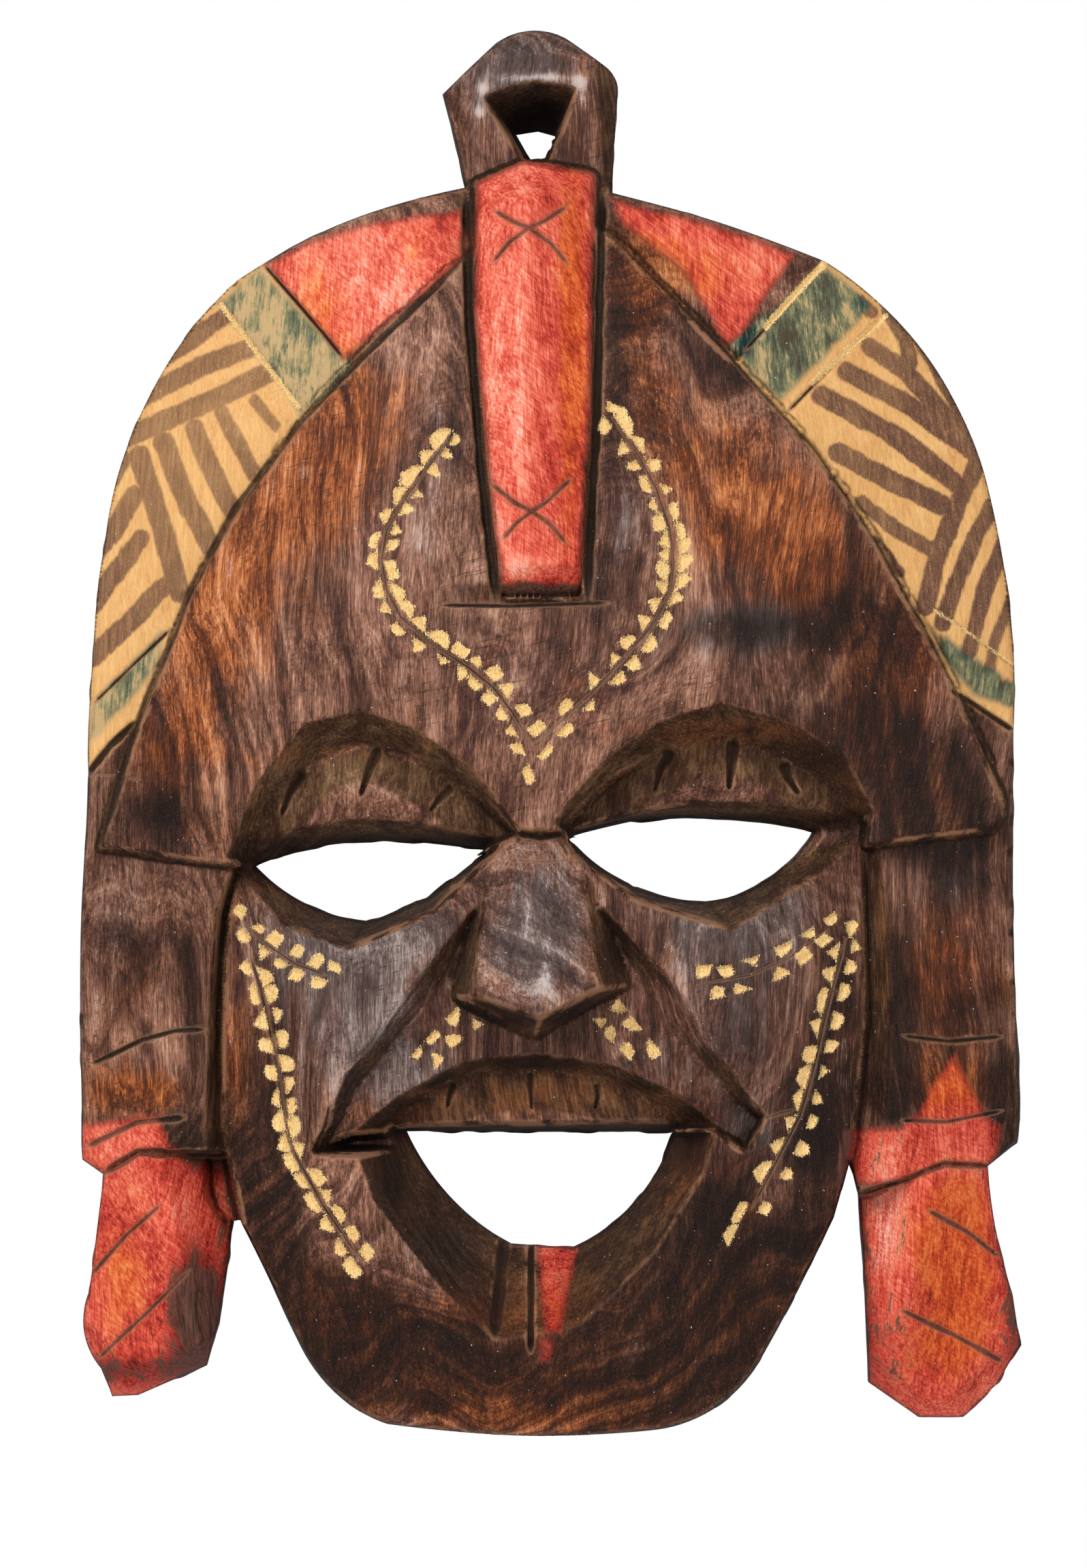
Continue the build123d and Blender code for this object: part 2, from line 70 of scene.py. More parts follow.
MM = 0.001
NET = 0.45  # spacing of the front's net
NET_LOW, NET_HIGH = (-99.0, -281.0), (106.0, 23.0)  # plan corners of the front's first grid
NET_CLEAR = 0.45  # share of the spacing that stays clear beside a line
BACK_NET, BACK_CLEAR = 2.0, 0.6
LONGEST_SIDE = 2.5  # in spacings: a longer side spans a hole
WHISKER = 0.3  # in spacings: the height of a triangle that is too thin
WELD = 0.03  # corners closer than this are one
PINHOLE = 1.2  # square millimetres
FACES_FORWARD = 0.03  # a CAD triangle that faces forward more than this is part of the front
AHEAD, BEHIND = -90, 20  # where the rays start, before and behind the mask
PULL = 0.08  # how far into its triangle a corner's ray is moved
CRACK = 0.2  # half the widest crack between two solids that touch
WALL_ROWS = 14
EDGE_ROUND = 1.6  # radius worn onto the free edges
BACK_ROUND = 1.1
THINNEST = 0.8
LOWEST_FRONT = 0.3
HAND = 0.28  # how far the outlines wander
STEEP = 0.8  # a corner that faces forward less than this is on a knife wall
OUTSIDE = -6.0  # a signed distance far outside paint
NO_LINE = -4.0  # a signed distance far from any nick or stroke


# Noise


def lattice(ix, iy, iz):
    """A repeatable value from 0 to 1 at each whole-number point."""
    mixed = (ix * 374761393 + iy * 668265263 + iz * 1274126177) & 0x7FFFFFFF
    mixed = ((mixed ^ (mixed >> 13)) * 1103515245) & 0x7FFFFFFF
    return ((mixed ^ (mixed >> 16)) & 0xFFFF) / 65535.0


def noise(x, y, layer=0):
    """Smooth noise from -1 to 1 with a wavelength of about 1."""
    x0, y0 = np.floor(x).astype(np.int64), np.floor(y).astype(np.int64)
    fx, fy = x - x0, y - y0
    fx, fy = fx * fx * (3 - 2 * fx), fy * fy * (3 - 2 * fy)
    low = lattice(x0, y0, layer) * (1 - fx) + lattice(x0 + 1, y0, layer) * fx
    high = lattice(x0, y0 + 1, layer) * (1 - fx) + lattice(x0 + 1, y0 + 1, layer) * fx
    return 2 * (low * (1 - fy) + high * fy) - 1


def between(low, high, share):
    """A value that lies a share of the way from low to high."""
    return low + (high - low) * share


def smooth(value, low, high):
    """0 below low, 1 above high, and a smooth rise between."""
    share = np.clip((value - low) / (high - low), 0, 1)
    return share * share * (3 - 2 * share)


# Reading the frame


def node_triangles(node):
    """A CAD node's corners in millimetres, with doubles merged, and its triangles."""
    mesh = nodes[node].data
    mesh.calc_loop_triangles()
    corners = np.empty(len(mesh.vertices) * 3)
    mesh.vertices.foreach_get("co", corners)
    triangles = np.empty(len(mesh.loop_triangles) * 3, dtype=np.int64)
    mesh.loop_triangles.foreach_get("vertices", triangles)
    merged, place = np.unique(
        np.round(corners.reshape(-1, 3) / MM, 3), axis=0, return_inverse=True
    )
    triangles = place.reshape(-1)[triangles].reshape(-1, 3)
    flat = (triangles[:, 0] == triangles[:, 1]) | (triangles[:, 1] == triangles[:, 2])
    flat |= triangles[:, 0] == triangles[:, 2]
    return merged, triangles[~flat]


def forward_share(corners, triangles):
    """How far each triangle faces forward, from -1 to 1."""
    a, b, c = (corners[triangles[:, i]] for i in range(3))
    normal = np.cross(b - a, c - a)
    length = np.linalg.norm(normal, axis=1)
    return -normal[:, 1] / np.maximum(length, 1e-9)


def sides_of(triangles):
    """Every triangle's three sides, in the direction that it goes round."""
    return np.concatenate([triangles[:, [0, 1]], triangles[:, [1, 2]], triangles[:, [2, 0]]])


def beside_sides(triangles):
    """The number of the triangle on each directed side."""
    beside = {}
    for number, (a, b, c) in enumerate(triangles.tolist()):
        beside[a, b] = beside[b, c] = beside[c, a] = number
    return beside


def directed_border(triangles):
    """Sides used once, in the direction that their triangle goes round."""
    sides = sides_of(triangles)
    _, index, count = np.unique(np.sort(sides, axis=1), axis=0, return_index=True, return_counts=True)
    return sides[index[count == 1]]


def front_outline(corners, triangles):
    """The plan segments where a node's front ends."""
    front = triangles[forward_share(corners, triangles) > FACES_FORWARD]
    return corners[np.sort(directed_border(front), axis=1)][:, :, [0, 2]]


def divided(start, end):
    """Plan points from start to end, at most the net's spacing apart."""
    count = max(1, math.ceil(math.dist(start, end) / NET))
    return [tuple(np.asarray(start) + (np.asarray(end) - start) * i / count) for i in range(count + 1)]


node_names = list(nodes)
shapes = {name: node_triangles(name) for name in node_names}


# The net: one triangulation of the whole plan, shared by all the pieces


class Solids:
    """Rays through all the CAD nodes at once."""

    def __init__(self):
        corners, triangles, owner, base = [], [], [], 0
        for index, name in enumerate(node_names):
            node_corners, node_faces = shapes[name]
            corners.extend(map(tuple, node_corners))
            triangles.extend(map(tuple, node_faces + base))
            owner.extend([index] * len(node_faces))
            base += len(node_corners)
        self.tree = BVHTree.FromPolygons(corners, triangles, all_triangles=True)
        self.owner = owner

    def front(self, x, z):
        """Depth of the front and the node there, or None."""
        place, _, face, _ = self.tree.ray_cast((x, AHEAD, z), (0, 1, 0))
        return None if place is None else (-place.y, self.owner[face])

    def back(self, x, z):
        """Depth of the back, or NaN."""
        place, _, _, _ = self.tree.ray_cast((x, BEHIND, z), (0, -1, 0))
        return math.nan if place is None else -place.y


solids = Solids()


def hex_points(low, high, spacing):
    """Points on a triangular grid."""
    rows = np.arange(low[1], high[1], spacing * math.sqrt(0.75))
    columns = np.arange(low[0], high[0], spacing)
    x, z = np.meshgrid(columns, rows)
    x[1::2] += spacing / 2
    return np.column_stack([x.ravel(), z.ravel()])


def cells_near(samples, size):
    """The cells of a square grid that hold a sample or touch a cell that does."""
    cells = {(math.floor(x / size), math.floor(z / size)) for x, z in samples}
    return {(i + di, j + dj) for i, j in cells for di in (-1, 0, 1) for dj in (-1, 0, 1)}


def far_from(points, lines, gap):
    """Which points are at least a gap away from every sample of the lines."""
    crowded = cells_near((point for line in lines for point in line), gap)
    keys = np.floor(points / gap).astype(int)
    return np.array([tuple(key) not in crowded for key in keys.tolist()])


def triangulated(lines, points):
    """Plan corners and triangles through every line and every loose point."""
    corners, edges = [], []
    for line in lines:
        first = len(corners)
        corners.extend(Vector(point) for point in line)
        edges.extend((first + i, first + i + 1) for i in range(len(line) - 1))
    corners.extend(Vector(point) for point in points)
    plan, _, faces, *_ = delaunay_2d_cdt(corners, edges, [], 0, WELD, False)
    return np.array([tuple(corner) for corner in plan]), np.array(faces)


# What the knife did: cuts, nicks and ridges, as plan lines


# Each cut: its line, its width and its depth.
CUTS = [
    ([(-14.9, -14), (-14.3, -39.6), (-11.8, -70), (-8.1, -101)], 2.6, 1.5),
    ([(14.4, -13.5), (13.6, -39.6), (13.1, -66), (11.4, -101)], 2.6, 1.5),
    ([(-20, -102), (-5, -102.3), (16, -101.6)], 1.3, 0.9),
    ([(-14.8, -27.3), (-34.6, -47), (-50.5, -63.3), (-64, -81.5), (-73.8, -99.6), (-82.9, -122),
      (-92.3, -151)], 2.4, 1.3),
    ([(15.8, -22.7), (40.4, -47.3), (60, -69), (72.7, -88), (83.5, -107.3), (92.5, -125),
      (99.6, -141)], 1.6, 0.7),
    ([(-58.1, -28.8), (-49.5, -39), (-40.8, -49.6)], 1.4, 0.8),
    ([(-67.3, -36.9), (-58, -49.7), (-49.6, -60.8)], 1.4, 0.8),
    ([(-94.2, -122.7), (-86, -114.8), (-78, -107.3)], 1.4, 0.8),
    ([(-95.3, -137.7), (-90.5, -132), (-85, -127.3)], 2.4, 1.5),
    ([(61.5, -28.8), (53, -38.6), (45, -47.5)], 1.4, 0.8),
    ([(74.6, -40.4), (64.2, -50.4), (54.2, -60.8)], 1.4, 0.8),
    ([(83.5, -101), (93, -108), (102.3, -115)], 0.9, 0.5),
    ([(89, -120.2), (94, -123.2), (102.6, -128.6)], 1.8, 1.2),
    ([(-8.8, -18), (-4.5, -20.6), (-1.3, -21.9), (3.4, -25.2), (6.9, -29.4)], 1.7, 0.8),
    ([(6.9, -17.1), (2, -20.4), (-1.3, -21.9), (-5.4, -24.8), (-9.1, -29.1)], 1.7, 0.8),
    ([(-9.1, -76.3), (-4, -80.4), (-0.3, -82.2), (3.6, -85), (6.9, -89)], 1.7, 0.8),
    ([(7.8, -75.3), (3, -80), (-0.3, -82.2), (-3.6, -84.6), (-6.8, -88.3)], 1.7, 0.8),
    ([(-70.5, -192.7), (-77, -193), (-84, -195), (-90, -198), (-95.2, -200.4)], 1.7, 1),
    ([(-75, -211.6), (-85.3, -213), (-96.1, -218.3)], 1.9, 1.1),
    ([(-66, -219.2), (-75, -219.5), (-85, -219.4), (-92, -223.7)], 2.4, 2),
    ([(78.8, -194), (89, -195.3), (100.2, -194.6)], 1.5, 0.9),
    ([(78.3, -212), (88, -212.4), (100.2, -210.5)], 1.5, 0.9),
    ([(69.6, -227.8), (78, -225), (87.7, -221.4), (97.2, -222.2)], 2, 1.4),
    ([(-80, -230.4), (-87.5, -237), (-95.2, -245.7)], 1.4, 0.9),
    ([(-74, -244.3), (-83, -253.5), (-93.4, -263.6)], 1.4, 0.9),
    ([(84.3, -231.3), (92.5, -236), (99.7, -241.8)], 1.6, 1),
    ([(78.8, -252.7), (90, -258.3), (100.7, -264.6)], 1.6, 1),
    ([(-3.6, -150.6), (1, -151.6), (5.9, -150.6)], 2.2, 1.2),
    ([(-4, -156.3), (2, -156.7), (8, -156.2)], 1.3, 0.4),
    ([(-49.6, -137.6), (-52.4, -142), (-54.2, -147)], 3.4, 1.7),
    ([(-33.4, -132.4), (-35.5, -137), (-37.3, -142.7)], 3.2, 1.7),
    ([(-17.8, -140.4), (-20.6, -143.2), (-22.4, -145.8)], 3, 1.4),
    ([(29, -132.8), (26.8, -137), (25.6, -141.8)], 3.4, 1.6),
    ([(42.6, -130.6), (42, -135.5), (41.6, -141)], 3.8, 1.8),
    ([(53.2, -135.8), (54.2, -139), (56.4, -142.4)], 3.8, 1.6),
    ([(-17.4, -204.2), (-18.2, -206.6), (-18.6, -209.4)], 2.4, 1.2),
    ([(-1, -201.6), (-1, -205), (-0.8, -209.6)], 2.4, 1.3),
    ([(13, -204.2), (13.4, -206.8), (12.8, -209.6)], 2.4, 1.2),
    ([(-6.2, -234), (-7.3, -248), (-8.3, -257.5)], 3.4, 1.6),
    ([(-0.6, -236), (-0.5, -250), (-0.7, -261)], 1.8, 1.7),
    ([(-43.5, -208.5), (-44.5, -213), (-47.3, -218.6)], 1.6, 0.8),
    ([(49.4, -211.6), (53, -210.4), (55.5, -209.8)], 1, 0.5),
    ([(-97, -138), (-90, -138.5), (-84, -139.5)], 0.9, 0.4),
    ([(-18.6, -66.5), (-22, -71.6), (-27.4, -79), (-31.4, -86), (-32.4, -92), (-31.3, -99), (-28.4, -104.5),
      (-22.4, -109.8), (-14, -115.2), (-8.6, -119.6), (-4.6, -125), (-0.8, -131.5)], 1.1, 0.55),
    ([(16.4, -62), (22.4, -70.4), (26.2, -77.4), (28.9, -86), (29.8, -93), (29, -99.4), (25.4, -106),
      (19.3, -113), (12, -121), (3.6, -128.8), (-0.6, -132)], 1.1, 0.55),
    ([(-62.6, -170), (-57, -174.8), (-51, -178.8), (-44.5, -181)], 1, 0.5),
    ([(-61.2, -176), (-58.6, -184), (-56.8, -192), (-54.8, -202), (-53, -212), (-50.8, -219.6),
      (-45.2, -230), (-37, -242)], 1.2, 0.6),
    ([(37.4, -182.4), (46, -180.8), (54, -177.6), (62.6, -171.6)], 1, 0.5),
    ([(66.4, -173.5), (64.2, -182), (61.8, -191.6), (59.4, -202), (56.8, -211), (52, -220),
      (46, -231)], 1.2, 0.6),
]
NOTCHES = range(29, 38)  # the cuts on the eyelids and the upper lip, which narrow downward
NOTCH_NARROWING = 0.65

# Ridges and bevels: the nodes that each is on, its line, half its width and its height.
RIDGES = [
    (["left_eyelid"], [(-59, -152), (-50.9, -145.3), (-44.2, -143.5), (-34, -142.2), (-25.8, -143.5),
                       (-14, -148.8)], 6, 1.7),
    (["right_eyelid"], [(14, -147.6), (21.9, -143.5), (31.4, -140.4), (40.3, -139.8), (50.9, -140.7),
                        (63, -144.6)], 6, 1.7),
    (["crest_bar"], [(-1, -4), (-2.6, -30), (-3.1, -95)], 10, 2.2),
    (["left_earring"], [(-83, -219), (-79, -240), (-72, -264)], 9, 1.6),
    (["right_earring"], [(88, -220), (84.8, -234.3), (78.4, -256)], 10, 1.8),
    (["crest_bar"], [(-12, -102), (13, -102)], 8.5, -6.5),
    (["left_earring"], [(-98, -262), (-90, -273), (-67, -265)], 6.5, -5),
    (["right_earring"], [(70, -268), (82, -278), (91, -278), (106, -264)], 6, -4.5),
]

# Rows of nicks: the middle of each nick, the side that its far edge lies on, and its length.
NICKS = [
    ([(-20.4, -66), (-23.4, -70), (-26.4, -74), (-29.4, -78.4)], 1, 6.2),
    ([(-31.9, -83), (-33.8, -88), (-34.4, -92.6), (-33.2, -98.5), (-31.9, -102.8), (-28.9, -107.4),
      (-25, -110.6), (-19.6, -113.8), (-15.8, -116.3), (-12.7, -118.8), (-9.6, -121.8), (-7.1, -125.4),
      (-4.9, -129.4)], 1, 3.5),
    ([(-16.9, -67), (-18.6, -69.8), (-21.2, -73.2), (-25, -78.8)], -1, 2.6),
    ([(-27.3, -82), (-29.4, -86), (-30.3, -89.8)], -1, 3.2),
    ([(-30.4, -94.4), (-29, -99), (-26.8, -102.6), (-24, -105.6), (-20, -108.8), (-15.6, -111.6)], -1, 4.7),
    ([(-12, -114), (-8.6, -116.4), (-5.6, -119.8), (-2.6, -124)], -1, 3.2),
    ([(16.6, -59.6)], -1, 2.4),
    ([(19.6, -63.5), (22.6, -67.6)], -1, 6),
    ([(25.6, -72), (28.2, -77.2), (30, -82.3), (31.2, -86.4), (31.9, -90), (31.8, -93.6), (31.4, -97.4),
      (30.2, -101.2), (28, -105.3), (24.6, -110.4), (21.3, -114.4), (17.9, -118), (11.9, -123.9), (6.5, -129),
      (2.6, -133.4)], -1, 3.7),
    ([(14.6, -63.5), (18.6, -68.8), (21.5, -72.6)], 1, 2.8),
    ([(23.8, -76.6), (25.4, -81), (26.6, -84.4), (27.4, -88), (27.7, -91.6), (27.5, -95.3), (26.9, -98.4),
      (25.4, -101.8), (23, -105.6), (19.9, -109.6), (16.6, -113.6), (12.2, -118.2), (6.3, -123.9),
      (0.7, -128.4)], 1, 3.7),
    ([(-3.4, -133.2), (-1.4, -138)], 1, 3.4),
    ([(-63, -167.6), (-59, -171), (-55.6, -173.4), (-51, -176), (-47, -178), (-42.4, -179.4)], -1, 3.2),
    ([(-62.4, -172.6), (-58.4, -176.4), (-54.2, -179), (-50.6, -181), (-46, -182.6)], 1, 3.2),
    ([(-61.6, -180), (-60, -185), (-58.6, -190.6), (-57.2, -196.4), (-56, -202), (-55.2, -207),
      (-54.6, -211.8), (-53.6, -216.6), (-52, -220.8), (-49.6, -225.2), (-47.2, -229.8), (-44.6, -234.4),
      (-41.8, -239), (-38.8, -243.2)], 1, 4.2),
    ([(-57.6, -181), (-56.2, -185), (-54.8, -189.6), (-53.9, -194.6), (-53, -199.4), (-52, -204.4),
      (-51.6, -209), (-51, -213.6), (-49.8, -218), (-46.4, -223.6), (-44.2, -227.8), (-41.8, -231.8),
      (-38.8, -236), (-35.6, -240.4)], -1, 4),
    ([(36.2, -180), (40.4, -179.9), (46.4, -178), (53.5, -175.4), (58.4, -172.6), (63.4, -169.2)], 1, 3.8),
    ([(38.8, -184.6), (44.2, -183.4), (52.2, -180.6), (57.4, -177.2), (61.8, -173.6)], -1, 3.4),
    ([(67.8, -171.4), (68.7, -175), (67.4, -179.6), (66, -185), (64.6, -191), (63.2, -196.6), (61.9, -202),
      (60.7, -207.4), (59.2, -212.6), (57, -218.2), (53.6, -223.8), (48.8, -231)], -1, 3.4),
    ([(63.8, -176), (62.7, -181), (61.4, -186.6), (60, -192), (58.8, -197.6), (57.4, -202.6), (56.2, -207.4),
      (54.4, -212.4), (51.8, -217), (48.4, -222.6), (43.6, -231.4), (41.4, -236.4)], 1, 4.8),
    ([(-17, -189.6), (-21.8, -194.4), (-24.8, -197.8)], -1, 3.4),
    ([(-12.4, -191.2), (-17.2, -194.4), (-21.2, -199.2)], 1, 3.2),
    ([(13.9, -190.8), (16.6, -193.8), (20, -197.4)], -1, 3.2),
    ([(18, -188.4), (21, -192.2), (24.8, -196.8)], 1, 3.6),
]
NICK_WIDTH = 2.5
NICK_DEPTH = 0.95
NICK_CORNERS = 8
NICK_MIDDLE = 0.45  # share of a nick's width between its straight side and its middle
NICK_LEAN = 0.9
NICK_UNEVEN = 0.3
NICK_SLOPE = 1.12  # a nick is deepest at its straight side, and shallow from there on
NICK_SIDE = (-0.05, 0.4)  # signed distances between which its sides go down


def nick_outline(middle, run, across, length, width, chance):
    """One nick: a straight stopped side, and a far side from pointed to square."""
    squareness = 2 / (1.0 + 4.5 * chance[2] ** 2)
    seed = int(chance[0] * 997)
    points = []
    for step in range(NICK_CORNERS + 1):
        turn = math.pi * step / NICK_CORNERS
        reach = math.copysign(abs(math.cos(turn)) ** squareness, math.cos(turn)) * length / 2
        uneven = 1 + NICK_UNEVEN * (lattice(step, seed, 3) - 0.5)
        rise = math.sin(turn) ** squareness * width * uneven
        lean = (chance[1] - 0.5) * NICK_LEAN * rise
        points.append(middle + run * (reach + lean) + across * (rise - width * NICK_MIDDLE))
    return np.array(points)


def nick_outlines():
    """Each nick's outline, its middle, the way that its far side faces and its width."""
    outlines = []
    for row, (middles, side, length) in enumerate(NICKS):
        track = np.array(middles)
        along = np.gradient(track, axis=0) if len(track) > 1 else np.array([[0.0, -1.0]])
        along /= np.linalg.norm(along, axis=1, keepdims=True)
        for index, (middle, run) in enumerate(zip(track, along)):
            across = np.array([-run[1], run[0]]) * -side
            chance = lattice(np.arange(5) * 37 + index, row, 7)
            width = NICK_WIDTH * between(0.72, 1.22, chance[3])
            spread = length * between(0.78, 1.18, chance[4])
            outline = nick_outline(middle, run, across, spread, width, chance)
            outlines.append((outline, middle, across, width))
    return outlines


def line_distance(plan, line):
    """Distance from plan points to a line, and the share of the line's length passed there."""
    best = np.full(len(plan), 1e9)
    passed = np.zeros(len(plan))
    line = np.asarray(line, dtype=float)
    lengths = np.linalg.norm(np.diff(line, axis=0), axis=1)
    before = np.concatenate([[0], np.cumsum(lengths)]) / max(lengths.sum(), 1e-9)
    for index, length in enumerate(lengths):
        run = (line[index + 1] - line[index]) / max(length, 1e-9)
        reach = np.clip((plan - line[index]) @ run, 0, length)
        away = np.linalg.norm(plan - line[index] - reach[:, None] * run, axis=1)
        nearer = away < best
        best[nearer] = away[nearer]
        passed[nearer] = before[index] + reach[nearer] / lengths.sum()
    return best, passed


def inside_outline(plan, outline):
    """Signed distance from plan points to a closed outline, above 0 inside."""
    away, _ = line_distance(plan, np.vstack([outline, outline[:1]]))
    within = np.zeros(len(plan), dtype=bool)
    for (x0, z0), (x1, z1) in zip(outline, np.roll(outline, -1, axis=0)):
        spans = (z0 > plan[:, 1]) != (z1 > plan[:, 1])
        crossing = x0 + (plan[:, 1] - z0) * (x1 - x0) / (z1 - z0 if z1 != z0 else 1e-9)
        within ^= spans & (plan[:, 0] < crossing)
    return np.where(within, away, -away)


def near(plan, outline, margin):
    """Indices of the plan points in an outline's box, widened by a margin."""
    low, high = np.min(outline, axis=0) - margin, np.max(outline, axis=0) + margin
    return np.flatnonzero(np.all((plan > low) & (plan < high), axis=1))


def parallel(line, gap):
    """A line beside another."""
    line = np.asarray(line, dtype=float)
    run = np.gradient(line, axis=0)
    run /= np.linalg.norm(run, axis=1, keepdims=True)
    return line + np.column_stack([-run[:, 1], run[:, 0]]) * gap


nicks = nick_outlines()


def net_lines():
    """The lines that the net must follow: node outlines, nicks and cuts."""
    segments = [segment for name in node_names for segment in front_outline(*shapes[name])]
    for outline, *_ in nicks:
        segments.extend(zip(outline, np.roll(outline, -1, axis=0)))
    for line, width, _ in CUTS:
        for gap in (0, width / 2, -width / 2):
            track = parallel(line, gap)
            segments.extend(zip(track, track[1:]))
    return [divided(start, end) for start, end in segments]


def owner_at(x, z):
    """The node at a plan point, or -1. A crack between two solids counts as one of them."""
    hit = solids.front(x, z)
    if hit is None:
        ways = ((CRACK, 0), (-CRACK, 0), (0, CRACK), (0, -CRACK))
        beside = [solids.front(x + dx, z + dz) for dx, dz in ways]
        hit = (0, -1) if None in beside else beside[0]
    return hit[1]


def whiskers(plan, faces):
    """Thin triangles that hang on by one side only."""
    sides = np.sort(np.stack([faces, np.roll(faces, -1, axis=1)], axis=2), axis=2)
    _, place, count = np.unique(sides.reshape(-1, 2), axis=0, return_inverse=True, return_counts=True)
    free = (count[place.ravel()].reshape(-1, 3) == 1).sum(axis=1)
    a, b, c = (plan[faces[:, i]] for i in range(3))
    area = np.abs((b - a)[:, 0] * (c - a)[:, 1] - (b - a)[:, 1] * (c - a)[:, 0])
    longest = np.linalg.norm(np.stack([b - a, c - b, a - c]), axis=2).max(axis=0)
    return (free >= 2) & (area / longest < WHISKER * NET)


def filled(plan, faces, owner):
    """Owners again, with each pinhole given to the node beside it."""
    beside = beside_sides(faces)
    a, b, c = (plan[faces[:, i]] for i in range(3))
    area = 0.5 * ((b - a)[:, 0] * (c - a)[:, 1] - (b - a)[:, 1] * (c - a)[:, 0])
    waiting = set(np.flatnonzero(owner < 0).tolist())
    while waiting:
        hole = []
        frontier = [waiting.pop()]
        size = 0.0
        neighbours = []
        while frontier:
            number = frontier.pop()
            hole.append(number)
            size += abs(area[number])
            a, b, c = faces[number].tolist()
            for side in ((b, a), (c, b), (a, c)):
                other = beside.get(side, -1)
                if other in waiting:
                    waiting.discard(other)
                    frontier.append(other)
                elif other < 0:
                    size = math.inf
                elif owner[other] >= 0:
                    neighbours.append(owner[other])
        if size < PINHOLE and neighbours:
            owner[hole] = max(neighbours, key=neighbours.count)
    return owner


def owned(plan, faces):
    """The triangles that lie on a node, and which. Long thin ones that span a hole go."""
    owner = np.array([owner_at(x, z) for x, z in plan[faces].mean(axis=1)])
    sides = plan[faces] - plan[np.roll(faces, 1, axis=1)]
    owner[np.linalg.norm(sides, axis=2).max(axis=1) >= LONGEST_SIDE * NET] = -1
    owner = filled(plan, faces, owner)
    kept = owner >= 0
    faces, owner = faces[kept], owner[kept]
    for _ in range(4):
        kept = ~whiskers(plan, faces)
        faces, owner = faces[kept], owner[kept]
    return faces, owner


def corner_depths():
    """The CAD's depth at each corner, taken just inside the triangles that meet there.

    It is the highest, so that a step keeps its upper edge and becomes a short ramp below it.
    On a free edge it is the lowest, so that no thin fin stands at the tip of an opening.
    """
    pulled = plan[faces] * (1 - PULL) + plan[faces].mean(axis=1, keepdims=True) * PULL
    depths = np.array([front_depth(x, z) for x, z in pulled.reshape(-1, 2)])
    highest = np.zeros(len(plan))
    np.fmax.at(highest, faces.ravel(), depths)
    lowest = np.full(len(plan), np.inf)
    np.fmin.at(lowest, faces.ravel(), depths)
    return np.where(on_free & np.isfinite(lowest), lowest, highest)


def front_depth(x, z):
    """The CAD's depth at a plan point, or NaN."""
    hit = solids.front(x, z)
    return math.nan if hit is None else hit[0]


def made_net():
    """The front's plan corners, its triangles and the node that owns each."""
    loose = hex_points(NET_LOW, NET_HIGH, NET)
    loose = loose[[solids.front(x, z) is not None for x, z in loose]]
    lines = net_lines()
    loose = loose[far_from(loose, lines, NET * NET_CLEAR)]
    plan, faces = triangulated(lines, loose)
    faces, owner = owned(plan, faces)
    used, place = np.unique(faces, return_inverse=True)
    return plan[used], place.reshape(-1, 3), owner


plan, faces, owner = made_net()
unique_edges, uses = np.unique(np.sort(sides_of(faces), axis=1), axis=0, return_counts=True)
free_edges = unique_edges[uses == 1]
on_free = np.zeros(len(plan), dtype=bool)
on_free[free_edges] = True


def relaxed(values, rounds):
    """Values averaged with their neighbours."""
    count = np.bincount(unique_edges.ravel(), minlength=len(values))
    for _ in range(rounds):
        total = np.bincount(unique_edges[:, 0], values[unique_edges[:, 1]], len(values))
        total += np.bincount(unique_edges[:, 1], values[unique_edges[:, 0]], len(values))
        values = 0.5 * values + 0.5 * total / np.maximum(count, 1)
    return values


def distance_to(samples, limit):
    """Distance from each corner to the nearest sample, up to a limit."""
    tree = KDTree(len(samples))
    for index, (x, z) in enumerate(samples):
        tree.insert((x, z, 0), index)
    tree.balance()
    near_cells = cells_near(samples, limit)
    away = np.full(len(plan), float(limit))
    for index, (x, z) in enumerate(plan):
        if (math.floor(x / limit), math.floor(z / limit)) in near_cells:
            away[index] = min(limit, tree.find((x, z, 0))[2])
    return away


# Heights of the front


EDGE_REACH = 6
free_away = distance_to(plan[np.unique(free_edges)], EDGE_REACH)
corner_owner = np.zeros(len(plan), dtype=np.int64)
corner_owner[faces.ravel()] = np.repeat(owner, 3)
owner_name = np.array(node_names)[corner_owner]


WANDER = (3.1, 0.25, 40)  # a cut's width varies: wavelength, amount and first noise layer
CUT_UNEVEN = (4, 0.22)  # and its depth
TAPER_START, TAPER_END = 0.35, 0.07  # a cut's depth at its ends, and the share of its length that tapers


def cut_depth():
    """How far the line cuts go into each corner of the net."""
    deep = np.zeros(len(plan))
    for number, (line, width, most) in enumerate(CUTS):
        here = near(plan, line, width)
        x, z = plan[here].T
        away, passed = line_distance(plan[here], line)
        narrowing = 1 - NOTCH_NARROWING * passed if number in NOTCHES else 1
        wave, amount, layer = WANDER
        half = width / 2 * narrowing * (1 + amount * noise(x / wave, z / wave, layer + number))
        wave, amount = CUT_UNEVEN
        valley = most * (1 + amount * noise(x / wave, z / wave, number)) * np.clip(1 - away / half, 0, 1)
        taper = between(TAPER_START, 1, smooth(np.minimum(passed, 1 - passed), 0, TAPER_END))
        deep[here] = np.maximum(deep[here], valley * taper)
    return deep


